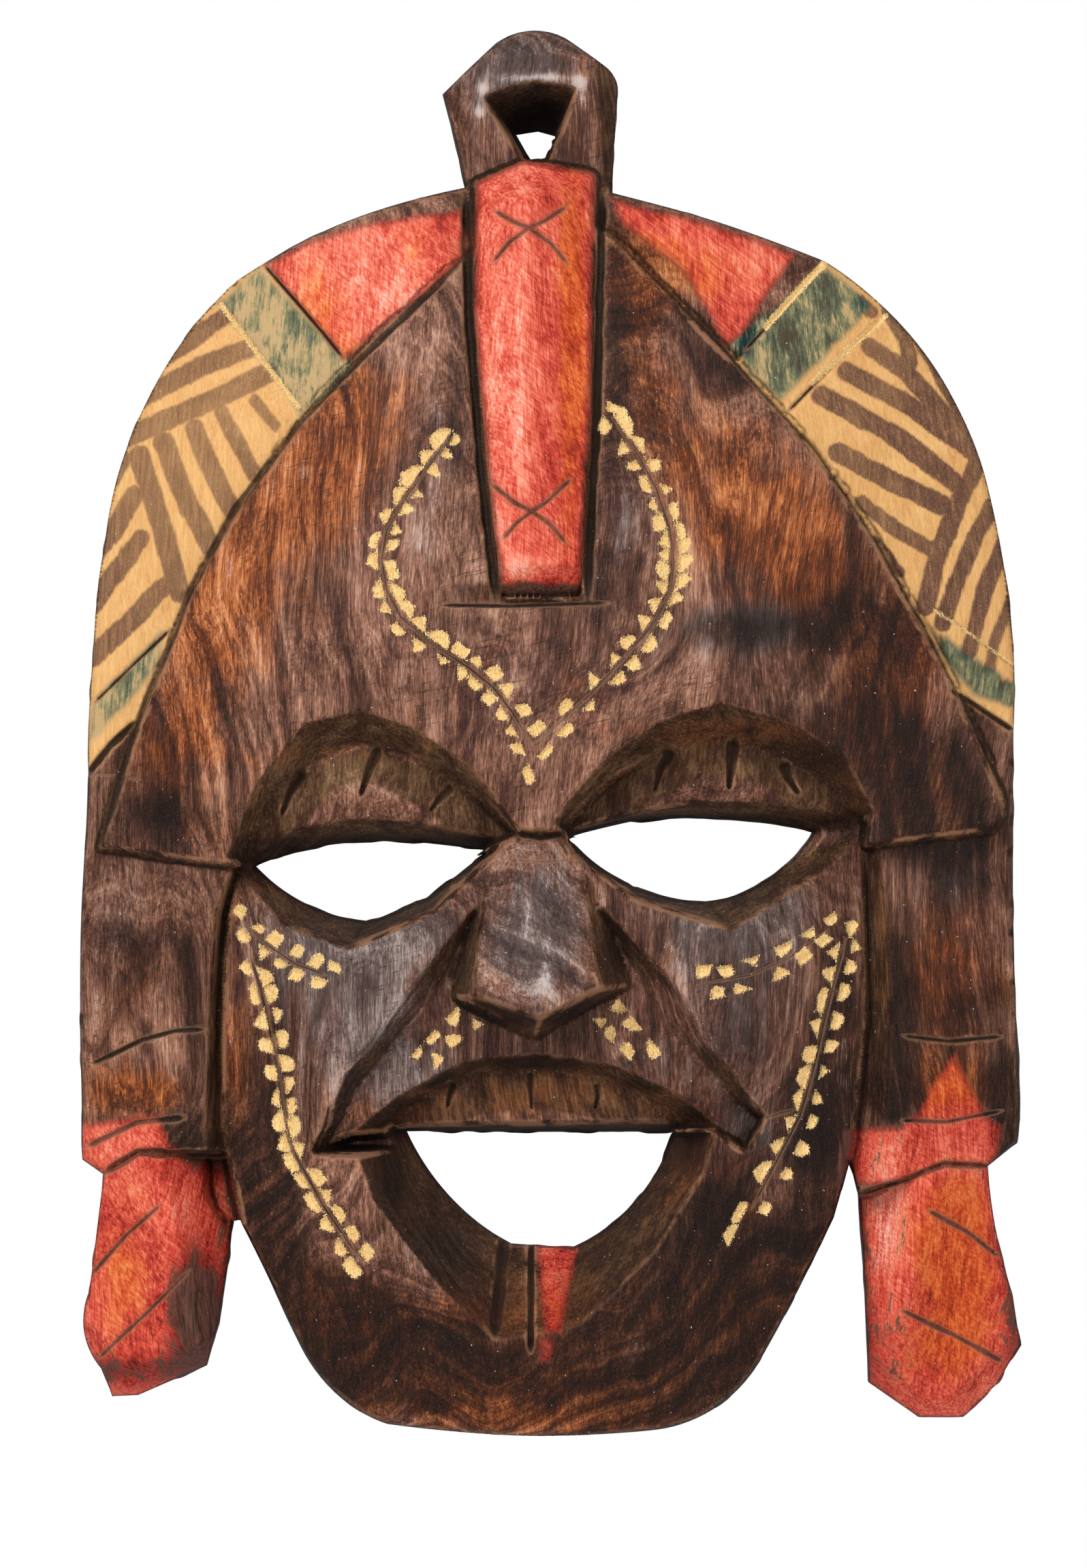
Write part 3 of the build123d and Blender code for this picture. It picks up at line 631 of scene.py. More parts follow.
def nick_field():
    """Signed distance into the nearest nick, and how far each nick is cut in."""
    field = np.full(len(plan), NO_LINE)
    deep = np.zeros(len(plan))
    for outline, middle, across, width in nicks:
        here = near(plan, outline, 2)
        inside = inside_outline(plan[here], outline)
        field[here] = np.maximum(field[here], inside)
        share = (plan[here] - middle) @ across / width + NICK_MIDDLE
        slope = NICK_DEPTH * np.clip(NICK_SLOPE - share, 0.1, 1)
        deep[here] = np.maximum(deep[here], slope * smooth(inside, *NICK_SIDE))
    return field, deep


def rounded_drop(away, radius):
    """How far a quarter-round edge falls at a distance from the edge."""
    inner = np.clip(1 - away / radius, 0, 1)
    return radius * (1 - np.sqrt(1 - inner * inner))


def spread_high(values, radius, cell=1.5):
    """The largest value around each corner, as a smooth field."""
    low = plan.min(axis=0) - 2 * cell
    index = np.floor((plan - low) / cell).astype(int)
    grid = np.zeros(index.max(axis=0) + 4)
    np.maximum.at(grid, (index[:, 0], index[:, 1]), values)
    reach = round(radius / cell)
    high = grid.copy()
    for i in range(-reach, reach + 1):
        for j in range(-reach, reach + 1):
            if i * i + j * j <= reach * reach:
                high = np.maximum(high, np.roll(grid, (i, j), axis=(0, 1)))
    for _ in range(reach):
        beside = [np.roll(high, way, axis) for axis in (0, 1) for way in (1, -1)]
        high = (high + sum(beside)) / 5
    share = (plan - low) / cell - 0.5
    i, j = np.floor(share).astype(int).T
    fx, fz = (share - np.floor(share)).T
    return (
        (high[i, j] * (1 - fx) + high[i + 1, j] * fx) * (1 - fz)
        + (high[i, j + 1] * (1 - fx) + high[i + 1, j + 1] * fx) * fz
    )


def gouge_marks(x, z, size):
    """Overlapping shallow hollows, as a round gouge leaves them."""
    long_marks = np.abs(noise(x / size, z / (size * 1.6), 21))
    short_marks = np.abs(noise(x / size * 1.9, z / size, 22))
    return long_marks + 0.5 * short_marks


def corner_normals(places, triangles):
    """Each corner's normal, the average of its triangles' by area."""
    a, b, c = (places[triangles[:, i]] for i in range(3))
    face_normal = np.cross(b - a, c - a)
    total = np.zeros_like(places)
    for column in triangles.T:
        np.add.at(total, column, face_normal)
    return total / np.maximum(np.linalg.norm(total, axis=1, keepdims=True), 1e-12)


SUNK_FROM, SUNK_TO = 0.5, 1.5  # a sunk node is a hollow where it lies this far below its surroundings
HIGH_GROUND = 8  # how far the surroundings reach
HIGH_MARGIN, MOST_BELOW = 1.5, 40
SUNK_NODES = ["left_eyelid", "right_eyelid", "upper_lip"]
SMOOTH_NODES = ["crest_bar", "left_earring", "right_earring"]


def wall_share():
    """1 on steep knife walls and sunk areas, and 0 on the polished front."""
    facing = -corner_normals(np.column_stack([plan[:, 0], -base, plan[:, 1]]), faces)[:, 1]
    walls = smooth(relaxed(STEEP - facing, 2), 0, 0.1) * ~np.isin(owner_name, SMOOTH_NODES)
    return np.maximum(walls, np.isin(owner_name, SUNK_NODES) * smooth(below, SUNK_FROM, SUNK_TO))


base = relaxed(corner_depths(), 3)
below = np.clip(spread_high(base, HIGH_GROUND) - base - HIGH_MARGIN, 0, MOST_BELOW)
recess = wall_share()
nick_inside, nick_deep = nick_field()
cut_deep = cut_depth()


def ridge_rise():
    """How far the ridges stand out."""
    rise = np.zeros(len(plan))
    for names, line, half, height in RIDGES:
        here = near(plan, line, half)
        here = here[np.isin(owner_name[here], names)]
        away, _ = line_distance(plan[here], line)
        rise[here] += height * np.clip(1 - away / half, 0, 1)
    return rise


# Unevenness of the front: height, wavelength across, wavelength up and noise layer.
WAVES = ((0.32, 31, 37, 1), (0.16, 11, 17, 2), (0.035, 1.1, 9, 3))
# Gouge marks: depth and size.
WALL_GOUGES, FACE_GOUGES = (0.30, 4.2), (0.10, 6.5)
CRISP_WALLS = 0.55  # how much less a free edge is rounded where it ends a wall


def front_heights():
    """The depth of the carved front at each corner."""
    x, z = plan.T
    depth = base + ridge_rise()
    for height, across, up, layer in WAVES:
        depth += height * noise(x / across, z / up, layer)
    for (deep, size), share in ((WALL_GOUGES, recess), (FACE_GOUGES, 1 - recess)):
        depth -= deep * gouge_marks(x, z, size) * share
    depth = relaxed(depth, 1)
    depth -= cut_deep + nick_deep
    return depth - rounded_drop(free_away, EDGE_ROUND) * (1 - CRISP_WALLS * recess)


# Places tried round a point for a ray that misses the joint between two solids.
NEAR_BY = ((0.13, 0.06), (-0.07, 0.12), (-0.12, -0.05), (0.06, -0.14), (0.3, 0.25), (-0.28, -0.3))


def cad_back(points):
    """The CAD's depth of back under plan points, clear of the joints between solids."""
    found = np.array([[solids.back(x + dx, z + dz) for x, z in points] for dx, dz in NEAR_BY])
    found[:, np.isnan(found).all(axis=0)] = 0
    return np.nanmedian(found, axis=0)


back_edge = np.zeros(len(plan))
back_edge[on_free] = cad_back(plan[on_free])
front = np.maximum(front_heights(), np.where(on_free, back_edge + THINNEST, LOWEST_FRONT))


def shifted(x, z):
    """Plan places moved a little, as a hand-cut line wanders."""
    return x + HAND * noise(z / 19, x / 41, 31), z + HAND * noise(x / 21, z / 43, 32)


def placed(plan_points, depth):
    """Places in metres for plan points at a depth."""
    x, z = shifted(*plan_points.T)
    return np.column_stack([x, -depth, z]) * MM


# Fields that the materials read, one value at each corner of the front


def node_field(names, limit=6):
    """Signed distance into a group of nodes, over 0 inside."""
    inside = np.isin(owner, [node_names.index(name) for name in names])
    touched, other = np.zeros((2, len(plan)), dtype=bool)
    touched[faces[inside]] = True
    other[faces[~inside]] = True
    away = distance_to(plan[touched & other], limit)
    return np.where(touched & ~other, away, -away)


def blobs(spots):
    """The sum of some soft patches."""
    total = np.zeros(len(plan))
    for x, z, wide, high, strength in spots:
        square = ((plan[:, 0] - x) / wide) ** 2 + ((plan[:, 1] - z) / high) ** 2
        total += strength * np.exp(-square)
    return total


def polygons_field(outlines):
    """Signed distance into the nearest of some outlines."""
    field = np.full(len(plan), OUTSIDE)
    for outline in outlines:
        here = near(plan, outline, -OUTSIDE)
        field[here] = np.maximum(field[here], inside_outline(plan[here], np.array(outline)))
    return field


# Brush strokes on the bare panels: each line of a stroke, and half its width.
STROKES = [
    ([(71.5, -46.5), (79, -51.5), (88, -61), (95, -69)], 2.0),
    ([(66.8, -52), (80, -59), (94.5, -69.5)], 2.1),
    ([(61.5, -57.2), (76, -65), (91, -76.5)], 2.2),
    ([(65, -69.2), (76, -75.5), (87, -80.5)], 2.2),
    ([(69.8, -80), (77, -85.6), (85.5, -90.5)], 1.7),
    ([(73.2, -88), (75.5, -91.5), (78.2, -95)], 1.1),
    ([(69.5, -37), (72.2, -39.2)], 1.6),
    ([(76, -39), (79.5, -45), (80.5, -50)], 1.7),
    ([(83, -45), (87.5, -53), (92, -62)], 1.8),
    ([(95, -71), (90.4, -80.5), (86.2, -92), (83.6, -102.5)], 2.1),
    ([(97.6, -81), (92.4, -92), (87.2, -106)], 1.9),
    ([(100.6, -89), (96.4, -99), (93, -112)], 1.8),
    ([(102, -101), (98.4, -110), (97.4, -116)], 1.3),
    ([(77, -39), (85, -47.4), (93, -59.6), (99, -74), (102.4, -90), (104, -112)], 1.7),
    ([(-66.5, -40), (-73, -44.6), (-81, -50)], 1.9),
    ([(-60.5, -46.4), (-71, -50.6), (-85, -58)], 2.1),
    ([(-57, -52.2), (-70, -58.4), (-88.5, -66.4)], 2.2),
    ([(-60, -58), (-55.6, -63.6)], 1.2),
    ([(-67, -60.5), (-63.6, -67), (-60, -74)], 1.7),
    ([(-72.8, -64), (-69, -73), (-64.4, -82)], 2.1),
    ([(-79.4, -67), (-75, -78), (-69, -89.6)], 2.2),
    ([(-84.4, -70), (-80, -84), (-75.8, -99)], 2.3),
    ([(-88, -70.5), (-91.5, -76.5)], 1.6),
    ([(-85.5, -78.4), (-89, -84.4), (-94.6, -91)], 2.1),
    ([(-84, -87.6), (-89, -94.4), (-95, -102)], 2.1),
    ([(-79.4, -98), (-86, -105), (-95, -113)], 2.2),
]

# Paint on the headdress, the ears and the lip. The stain shows round it.
RED_AREAS = [
    [(16.5, -15), (33, -19.2), (45, -22.8), (55.6, -27), (50, -35), (44.4, -44), (41, -46.5), (36, -38),
     (31, -30), (24, -24.5), (18, -20)],
    [(-57.5, -29), (-50, -24.8), (-40, -21.6), (-30, -19.2), (-16, -17.4), (-13, -25), (-22, -34),
     (-31, -41.5), (-37, -46.5), (-41, -50), (-48, -41.5)],
    [(-100, -214), (-85, -211.5), (-80, -211), (-78, -217), (-70, -221), (-67, -226), (-100, -226)],
    [(66, -214), (78, -213), (81.5, -210.5), (85, -204), (89.7, -198), (93, -204.5), (97.2, -211.5),
     (101, -213.4), (100, -220), (94, -226), (64, -226)],
    [(0.8, -258.2), (4.6, -257.8), (4, -263.4), (1, -264)],
]
GREEN_AREAS = [
    [(62, -29.6), (72.5, -37.6), (66, -44.5), (60, -50.8), (52.6, -58), (46, -52), (42, -45.5), (52, -38)],
    [(-68, -37.4), (-59, -29.4), (-47, -42), (-38.6, -51.5), (-44, -57), (-50, -61.6), (-58, -49.6)],
    [(83.5, -105), (92, -112), (103, -118.5), (103, -124), (94, -121), (86, -112)],
    [(-80, -107.5), (-94.5, -122.5), (-95.5, -131), (-87, -123.5), (-80, -114)],
]
RED_NODES = ["crest_bar", "left_earring", "right_earring", "lower_lip_strip"]
BARE_NODES = [
    "left_striped_panel",
    "right_striped_panel",
    "left_green_panel",
    "right_green_panel",
    "left_hem",
    "right_hem",
]
# Scratches down to pale wood, and half the width of each.
RAW_LINES = [
    ([(61.8, -28.9), (55.5, -35.6), (49.4, -42.4)], 0.75),
    ([(-67, -37.4), (-58.8, -48.6), (-50.6, -59.6)], 0.55),
    ([(75.2, -40), (67, -47.4), (59.4, -54.6)], 0.6),
    ([(85.6, -103), (94, -108.6), (102, -114.4)], 0.3),
]
# Soft patches of a look: middle, half width, half height and strength of each.
WARM_SPOTS = [
    (-75, -128, 13, 22, 0.7), (-52, -78, 18, 22, 0.8), (-66, -102, 12, 18, 0.8), (-36, -60, 16, 14, 0.7),
    (30, -62, 9, 16, 0.6), (44, -84, 14, 20, 0.9), (76, -122, 12, 24, 1.0), (58, -90, 10, 16, 0.8),
    (22, -48, 6, 16, 0.4), (58, -104, 6, 8, 0.5), (20, -32, 5, 12, 0.6), (-52, -255, 22, 14, 0.6),
    (48, -256, 22, 16, 0.7),
    (0, -272, 34, 9, 1.1), (-30, -212, 12, 14, 0.4), (36, -214, 12, 14, 0.4), (-64, -205, 5, 30, 0.6),
    (68, -205, 6, 30, 0.3), (-85, -180, 10, 16, 0.3), (88, -180, 12, 22, 0.8), (-84, -206, 10, 6, 0.9),
    (0, -207, 24, 5, 0.6), (8, -50, 3.5, 50, 1.0), (92, -246, 9, 20, 0.9), (-88, -244, 8, 20, 0.6),
    (90, -206, 14, 6, 0.7), (26, -30, 12, 9, 0.6), (-46, -36, 8, 14, 0.6), (-24, -26, 8, 8, 0.45),
    (40, -32, 10, 8, 0.4), (-44, -134, 26, 3, 0.35), (44, -129, 26, 3, 0.5), (-48, -160, 14, 5, 0.5),
    (30, -226, 18, 10, 0.3), (-6, -254, 34, 10, 0.6), (88, -236, 8, 12, 0.7), (86, -262, 9, 9, 0.5),
]
# Painted sheen: grey-blue where the waxed face would catch the light, on the nose, the forehead, the cheeks
# and the knob.
PAINTED_SHEEN_SPOTS = [
    (0, -116, 26, 12, 0.35), (-20, -84, 9, 20, 0.3), (20, -84, 7, 16, 0.6), (46, -107, 16, 6, 1.0),
    (1, -172, 9, 18, 1.0), (-34, -170, 24, 12, 0.9), (-44, -190, 14, 26, 0.55), (44, -190, 12, 20, 0.6),
    (-22, -204, 14, 8, 0.6), (24, -200, 12, 8, 0.4), (46, -214, 5, 5, 1.0), (42, -168, 24, 12, 0.7),
    (-3, 12, 16, 12, 1.0),
    (-90, -172, 8, 18, 0.4), (90, -160, 10, 8, 0.6), (-20, -240, 16, 8, 0.5), (24, -236, 16, 10, 0.3),
    (-30, -192, 12, 16, 0.5), (-20, -62, 6, 12, 0.4),
]
# Patches of deeper stain. Those along the crest bar's foot and its side channels are painted shade in the
# grooves.
DARK_SPOTS = [
    (-47, -96, 9, 10, 0.55), (46, -108, 16, 6, 0.6), (72, -112, 14, 22, 0.6), (62, -132, 24, 10, 0.8),
    (84, -138, 14, 12, 0.7), (38, -52, 16, 9, 0.6), (-6, -106, 20, 4, 0.4), (-80, -146, 14, 6, 0.6),
    (-30, -262, 24, 11, 0.9), (50, -254, 26, 22, 1.1), (4, -268, 44, 12, 0.7), (-56, -236, 10, 22, 0.5),
    (62, -226, 8, 30, 0.9), (-70, -217, 8, 6, 1.2), (-72.5, -253, 6, 13, 1.5), (-86, -178, 10, 16, 0.5),
    (76, -188, 5, 20, 0.9), (90, -160, 16, 14, 0.8), (92, -188, 12, 9, 0.6), (-72, -188, 5, 24, 0.8),
    (-36, -200, 10, 14, 0.3),
    (44, -200, 14, 14, 0.45), (-30, -230, 12, 12, 0.4), (32, -234, 14, 16, 0.8), (0, -98.5, 14, 1.6, 1.0),
    (-70, -120, 8, 16, 0.3), (20, -44, 5, 20, 0.35), (-17, -55, 3, 40, 0.5), (17, -55, 2.6, 40, 0.5),
    (76, -207, 6, 6, 0.8), (101, -206, 5, 10, 1.2), (101, -222, 4, 8, 0.7), (103, -252, 3, 24, 0.7),
    (68, -262, 4, 12, 0.35), (0, -100.5, 12, 1.8, 1.2), (-88, -266, 14, 4, 0.8), (14, -250, 10, 8, 0.5),
    (60, -196, 10, 24, 0.4), (-58, -206, 6, 26, 0.5), (66, -190, 3, 30, 0.7), (88, -150, 16, 6, 0.8),
    (-57, -228, 8, 16, 0.6), (-40, -250, 16, 9, 0.5), (34, -106, 14, 8, 0.3), (-88, -128, 9, 12, 0.3),
    (58, -104, 14, 7, 0.4), (0, -197, 12, 4, 0.5),
]
# Painted shade on the knife walls that face down or lie deep: under the brows and lids, under the nose, in
# the mouth and beside the crest bar.
WALL_SHADE_SPOTS = [  # on the knife walls only
    (-34, -154, 30, 3, 1.4), (38, -149.5, 32, 3, 1.4), (-46, -234, 12, 12, 1.0), (0, -188.5, 20, 3.4, 1.2),
    (-15, -176, 3.4, 12, 0.55), (16.5, -176, 3.4, 12, 0.6), (0, 4, 8, 5, 1.0), (-24, -181, 5, 8, 0.6),
    (-32, -192, 5, 8, 0.8), (-40, -203, 5, 8, 0.8), (-47, -212, 5, 6, 0.8), (20, -173, 4, 8, 0.6),
    (28, -184, 5, 8, 0.8), (38, -196, 5, 8, 0.8), (47, -206, 5, 6, 0.9), (-35, -224, 8, 13, 1.3),
    (-21, -242, 9, 10, 1.1), (34, -219, 6, 5, 0.8), (0, -199, 17, 2.4, 1.1), (-22, -203.4, 9, 2.8, 1.0),
    (25, -204, 9, 2.8, 1.0), (-31, -209, 5, 3, 0.9), (34, -210, 5, 3, 0.9), (-52, -128, 18, 8, 0.35),
    (62, -134, 16, 8, 0.7), (-9, -252, 8, 9, 0.6), (-90, -222, 30, 8, 0.6), (0, -214, 36, 1.6, 1.0),
    (-62, -190, 4, 40, 0.7), (69, -190, 4, 40, 0.7), (-14, -50, 3, 60, 0.8), (14, -50, 3, 60, 0.8),
]
# Where the colour turns paler: partly real wear, and painted highlights where the spots are strongest, along
# the ridges of the nose, the crest bar, the knob and the right ear and on the lids.
PALE_SPOTS = [
    (-40, -30, 20, 13, 0.95), (38, -28, 10, 8, 0.4), (-7.5, -46, 3, 40, 0.85), (-3, -56, 2.2, 34, 1.0),
    (-3.4, -94, 6, 2.4, 0.8), (66, -206, 3, 22, 0.9), (-11, 8.6, 1.6, 1.6, 1.9), (0, 10.8, 8, 1, 1.9),
    (9.6, 9.6, 1.8, 2, 2.0), (-11.8, 3.4, 1, 1.4, 1.6), (10.2, 6, 1.2, 2, 1.4), (-22, -84, 12, 22, 0.6),
    (-48, -68, 16, 14, 0.45), (-4, -128, 8, 10, 0.4), (-30, -44, 10, 10, 0.5), (34, -86, 10, 20, 0.45),
    (75, -236, 5, 20, 1.2), (-40, -137, 16, 5, 0.9), (45, -135, 12, 3, 0.25), (0, -207, 24, 4, 0.5),
    (-10, -70, 2, 20, 0.4), (-1.5, -167, 1.3, 9, 1.2), (2.4, -180, 1.3, 8, 1.2), (-6, -160, 2, 5, 0.7),
    (-60, -106, 12, 12, 0.3), (-90, -216, 10, 6, 0.4), (-44, -142.5, 12, 2, 0.4), (-76, -72, 22, 34, 0.9),
]


def lines_field(field, lines, margin):
    """A field raised to the signed distance into the nearest of some lines with a half width."""
    field = field.copy()
    for line, half in lines:
        here = near(plan, line, margin)
        away, _ = line_distance(plan[here], line)
        field[here] = np.maximum(field[here], half - away)
    return field


# Painted shade: the hollows darken with their depth, fully at these depths.
DEEP_SHADE, BACK_SHADE = 14, 20  # depths of the darkest hollows, in front and behind


def front_fields():
    """Signed distances into nicks and paints, and shares and strengths from 0 up."""
    return {
        "nick": lines_field(nick_inside, RAW_LINES, 3),
        "cut": cut_deep,
        "red": np.maximum(node_field(RED_NODES), polygons_field(RED_AREAS)),
        "green": polygons_field(GREEN_AREAS),
        "bare": node_field(BARE_NODES),
        "stroke": lines_field(np.full(len(plan), NO_LINE), STROKES, 6),
        "recess": recess,
        "shade": smooth(below, 0, DEEP_SHADE),
        "edge": front - relaxed(front, 4),
        "warm": blobs(WARM_SPOTS),
        "painted_sheen": blobs(PAINTED_SHEEN_SPOTS),
        "dark": blobs(DARK_SPOTS),
        "painted_shade": blobs(WALL_SHADE_SPOTS),
        "pale": blobs(PALE_SPOTS),
        "back": np.zeros(len(plan)),
    }


fields = front_fields()
field_names = list(fields)
front_places = placed(plan, front)
front_normals = corner_normals(front_places, faces)


# The pieces


def reached(triangles, border):
    """The triangles on the inner side of a border, found from neighbour to neighbour."""
    beside = beside_sides(triangles)
    waiting = [beside[side] for side in border if side in beside]
    found = set(waiting)
    closed = set(border)
    while waiting:
        a, b, c = triangles[waiting.pop()].tolist()
        for side in ((a, b), (b, c), (c, a)):
            other = beside.get(side[::-1])
            if side not in closed and other is not None and other not in found:
                found.add(other)
                waiting.append(other)
    return triangles[sorted(found)]


def back_net(border):
    """Corners and triangles for the back of a piece, inside the edges of its border."""
    rim, place = np.unique(border, return_inverse=True)
    loose = hex_points(plan[rim].min(axis=0), plan[rim].max(axis=0), BACK_NET)
    loose = loose[far_from(loose, [plan[rim]], BACK_NET * BACK_CLEAR)]
    rim_edges = [tuple(edge) for edge in place.reshape(-1, 2).tolist()]
    points = [Vector(point) for point in np.vstack([plan[rim], loose])]
    _, _, triangles, origin, *_ = delaunay_2d_cdt(points, rim_edges, [], 0, 1e-6, True)
    source = np.array([sources[0] for sources in origin])
    triangles = reached(source[np.array(triangles)], rim_edges)
    used = np.unique(np.concatenate([np.arange(len(rim)), triangles.ravel()]))
    rank = np.zeros(len(points), dtype=np.int64)
    rank[used] = np.arange(len(used))
    return rim, loose[used[len(rim) :] - len(rim)], rank[triangles]


RIM_RELIEF = 0.12  # share of the back's relief that is left on its flat rim
SLOPE_STEP = 0.8


def back_relief(x, z):
    """Gouge marks and long hollows on the back."""
    return 0.5 * gouge_marks(x, z, 9.0) + 0.25 * (1 + noise(x / 27, z / 33, 6))


def back_heights(points):
    """Depth of the back under plan points, and the way that it faces."""
    ways = np.array([(0, 0), (1, 0), (-1, 0), (0, 1), (0, -1)]) * SLOPE_STEP
    here, east, west, up, down = (cad_back(points + way) for way in ways)
    depth = here + back_relief(*points.T) * (smooth(here, 0.5, 4) + RIM_RELIEF)
    normal = np.column_stack([east - west, np.full(len(points), 2 * SLOPE_STEP), up - down])
    return depth, normal / np.linalg.norm(normal, axis=1, keepdims=True)


def free_ways():
    """The outward direction at each corner of a free edge."""
    border = directed_border(faces)
    run = plan[border[:, 1]] - plan[border[:, 0]]
    out = np.column_stack([run[:, 1], -run[:, 0]])
    ways = np.zeros((len(plan), 2))
    for place in (0, 1):
        np.add.at(ways, border[:, place], out)
    return ways / np.maximum(np.linalg.norm(ways, axis=1, keepdims=True), 1e-9)


outward = free_ways()
free_sides = {tuple(edge) for edge in free_edges.tolist()}
back_of_corner = np.zeros(len(plan))
rim_normals = np.zeros((len(plan), 3))
borders = [directed_border(faces[owner == index]) for index in range(len(node_names))]
all_border = np.unique(np.concatenate(borders))
back_of_corner[all_border], rim_normals[all_border] = back_heights(plan[all_border])
back_of_corner[on_free] = np.minimum(back_edge + BACK_ROUND, front - THINNEST / 2)[on_free]


def wall_places(corners, share):
    """One row of a free wall, a share of the way from front to back: it bulges and has knife marks."""
    depth = front[corners] * (1 - share) + back_of_corner[corners] * share
    x, z = plan[corners].T
    knife = 0.28 * noise((x * 0.8 + z * 0.6) / 2.6, depth / 8, 51)
    swell = 0.25 * noise((x + z) / 9, depth / 14, 52)
    bulge = (knife + swell + 0.1) * math.sin(math.pi * share)
    return placed(plan[corners] + outward[corners] * bulge[:, None], depth)


class Piece:
    """A closed mesh for one node: front, back, free walls and the walls against its neighbours."""

    def __init__(self, index):
        self.name = node_names[index]
        self.triangles = faces[owner == index]
        self.corners = np.unique(self.triangles)
        border = borders[index]
        is_free = np.array([tuple(sorted(side)) in free_sides for side in border.tolist()])
        self.rim, self.loose, self.back_faces = back_net(border)
        self.free, self.inner = border[is_free], border[~is_free]
        self.walled = np.unique(self.free)
        self.places, self.values = [], []

    def add_corners(self, places, values):
        """Add a block of corners with their field values. Gives the first one's number."""
        first = sum(len(block) for block in self.places)
        self.places.append(places)
        self.values.append(values)
        return first

    def lookup(self, corners, first):
        """The number in this mesh of each of the net's corners, or -1."""
        table = np.full(len(plan), -1)
        table[corners] = first + np.arange(len(corners))
        return table

    def build(self):
        """The mesh, with its fields and its normals."""
        first = self.add_corners(front_places[self.corners], front_values(self.corners))
        at_front = self.lookup(self.corners, first)
        rim_depth = back_of_corner[self.rim]
        rim_first = self.add_corners(placed(plan[self.rim], rim_depth), back_values(rim_depth))
        at_back = self.lookup(self.rim, rim_first)
        depth, normals = back_heights(self.loose)
        loose_first = self.add_corners(placed(self.loose, depth), back_values(depth))
        rows = [at_front]
        for row in range(1, WALL_ROWS):
            share = row / WALL_ROWS
            first = self.add_corners(wall_places(self.walled, share), wall_values(self.walled, share))
            rows.append(self.lookup(self.walled, first))
        rows.append(at_back)
        triangles = np.concatenate([at_front[self.triangles], rim_first + self.back_faces[:, ::-1]])
        quads = [self.strip(self.inner, at_front, at_back)]
        quads += [self.strip(self.free, upper, lower) for upper, lower in zip(rows, rows[1:])]
        given = np.zeros((loose_first + len(self.loose), 3))
        given[: len(self.corners)] = np.where(on_free[self.corners, None], 0, front_normals[self.corners])
        given[rim_first:loose_first] = np.where(on_free[self.rim, None], 0, rim_normals[self.rim])
        given[loose_first:] = normals
        return self.made(triangles, np.concatenate(quads), given)

    def strip(self, border, upper, lower):
        """Quads between two rows of a wall."""
        a, b = border.T
        return np.column_stack([upper[b], upper[a], lower[a], lower[b]])

    def made(self, triangles, quads, given):
        """A smooth mesh with the fields as attributes and the given normals on its triangles."""
        places = np.concatenate(self.places)
        mesh = bpy.data.meshes.new(self.name + "_carved")
        mesh.from_pydata(places.tolist(), [], triangles.tolist() + quads.tolist())
        mesh.shade_smooth()
        values = np.concatenate(self.values)
        for column, field in enumerate(field_names):
            layer = mesh.attributes.new(field, "FLOAT", "POINT")
            layer.data.foreach_set("value", np.ascontiguousarray(values[:, column], dtype=np.float32))
        normals = np.concatenate([given[triangles].reshape(-1, 3), np.zeros((quads.size, 3))])
        mesh.normals_split_custom_set(normals.tolist())
        return mesh


def front_values(corners):
    """Every field at some corners, one column each."""
    return np.column_stack([fields[name][corners] for name in field_names])


PAINT_ON_WALL = 1.3  # how fast a paint's signed distance falls down a wall
NO_PAINT = {"nick": NO_LINE, "red": OUTSIDE, "green": OUTSIDE, "bare": OUTSIDE, "stroke": NO_LINE, "back": 1}


def wall_values(corners, share):
    """Paint runs a little way down a wall, and gives way to the stain."""
    values = front_values(corners)
    column = {name: values[:, index] for index, name in enumerate(field_names)}
    down = (front[corners] - back_of_corner[corners]) * share
    for name in ("red", "green", "bare"):
        column[name] -= PAINT_ON_WALL * down
    column["nick"][:] = NO_LINE
    column["cut"][:] = 0
    column["edge"] *= 1 - share
    column["back"][:] = smooth(share, 0.8, 1.1)
    return values


def back_values(depth):
    """The back has no paint. Its hollow gets painted shade, darker the deeper it is."""
    values = np.zeros((len(depth), len(field_names)))
    for name, value in NO_PAINT.items():
        values[:, field_names.index(name)] = value
    values[:, field_names.index("shade")] = smooth(depth, 0, BACK_SHADE)
    return values


# Materials


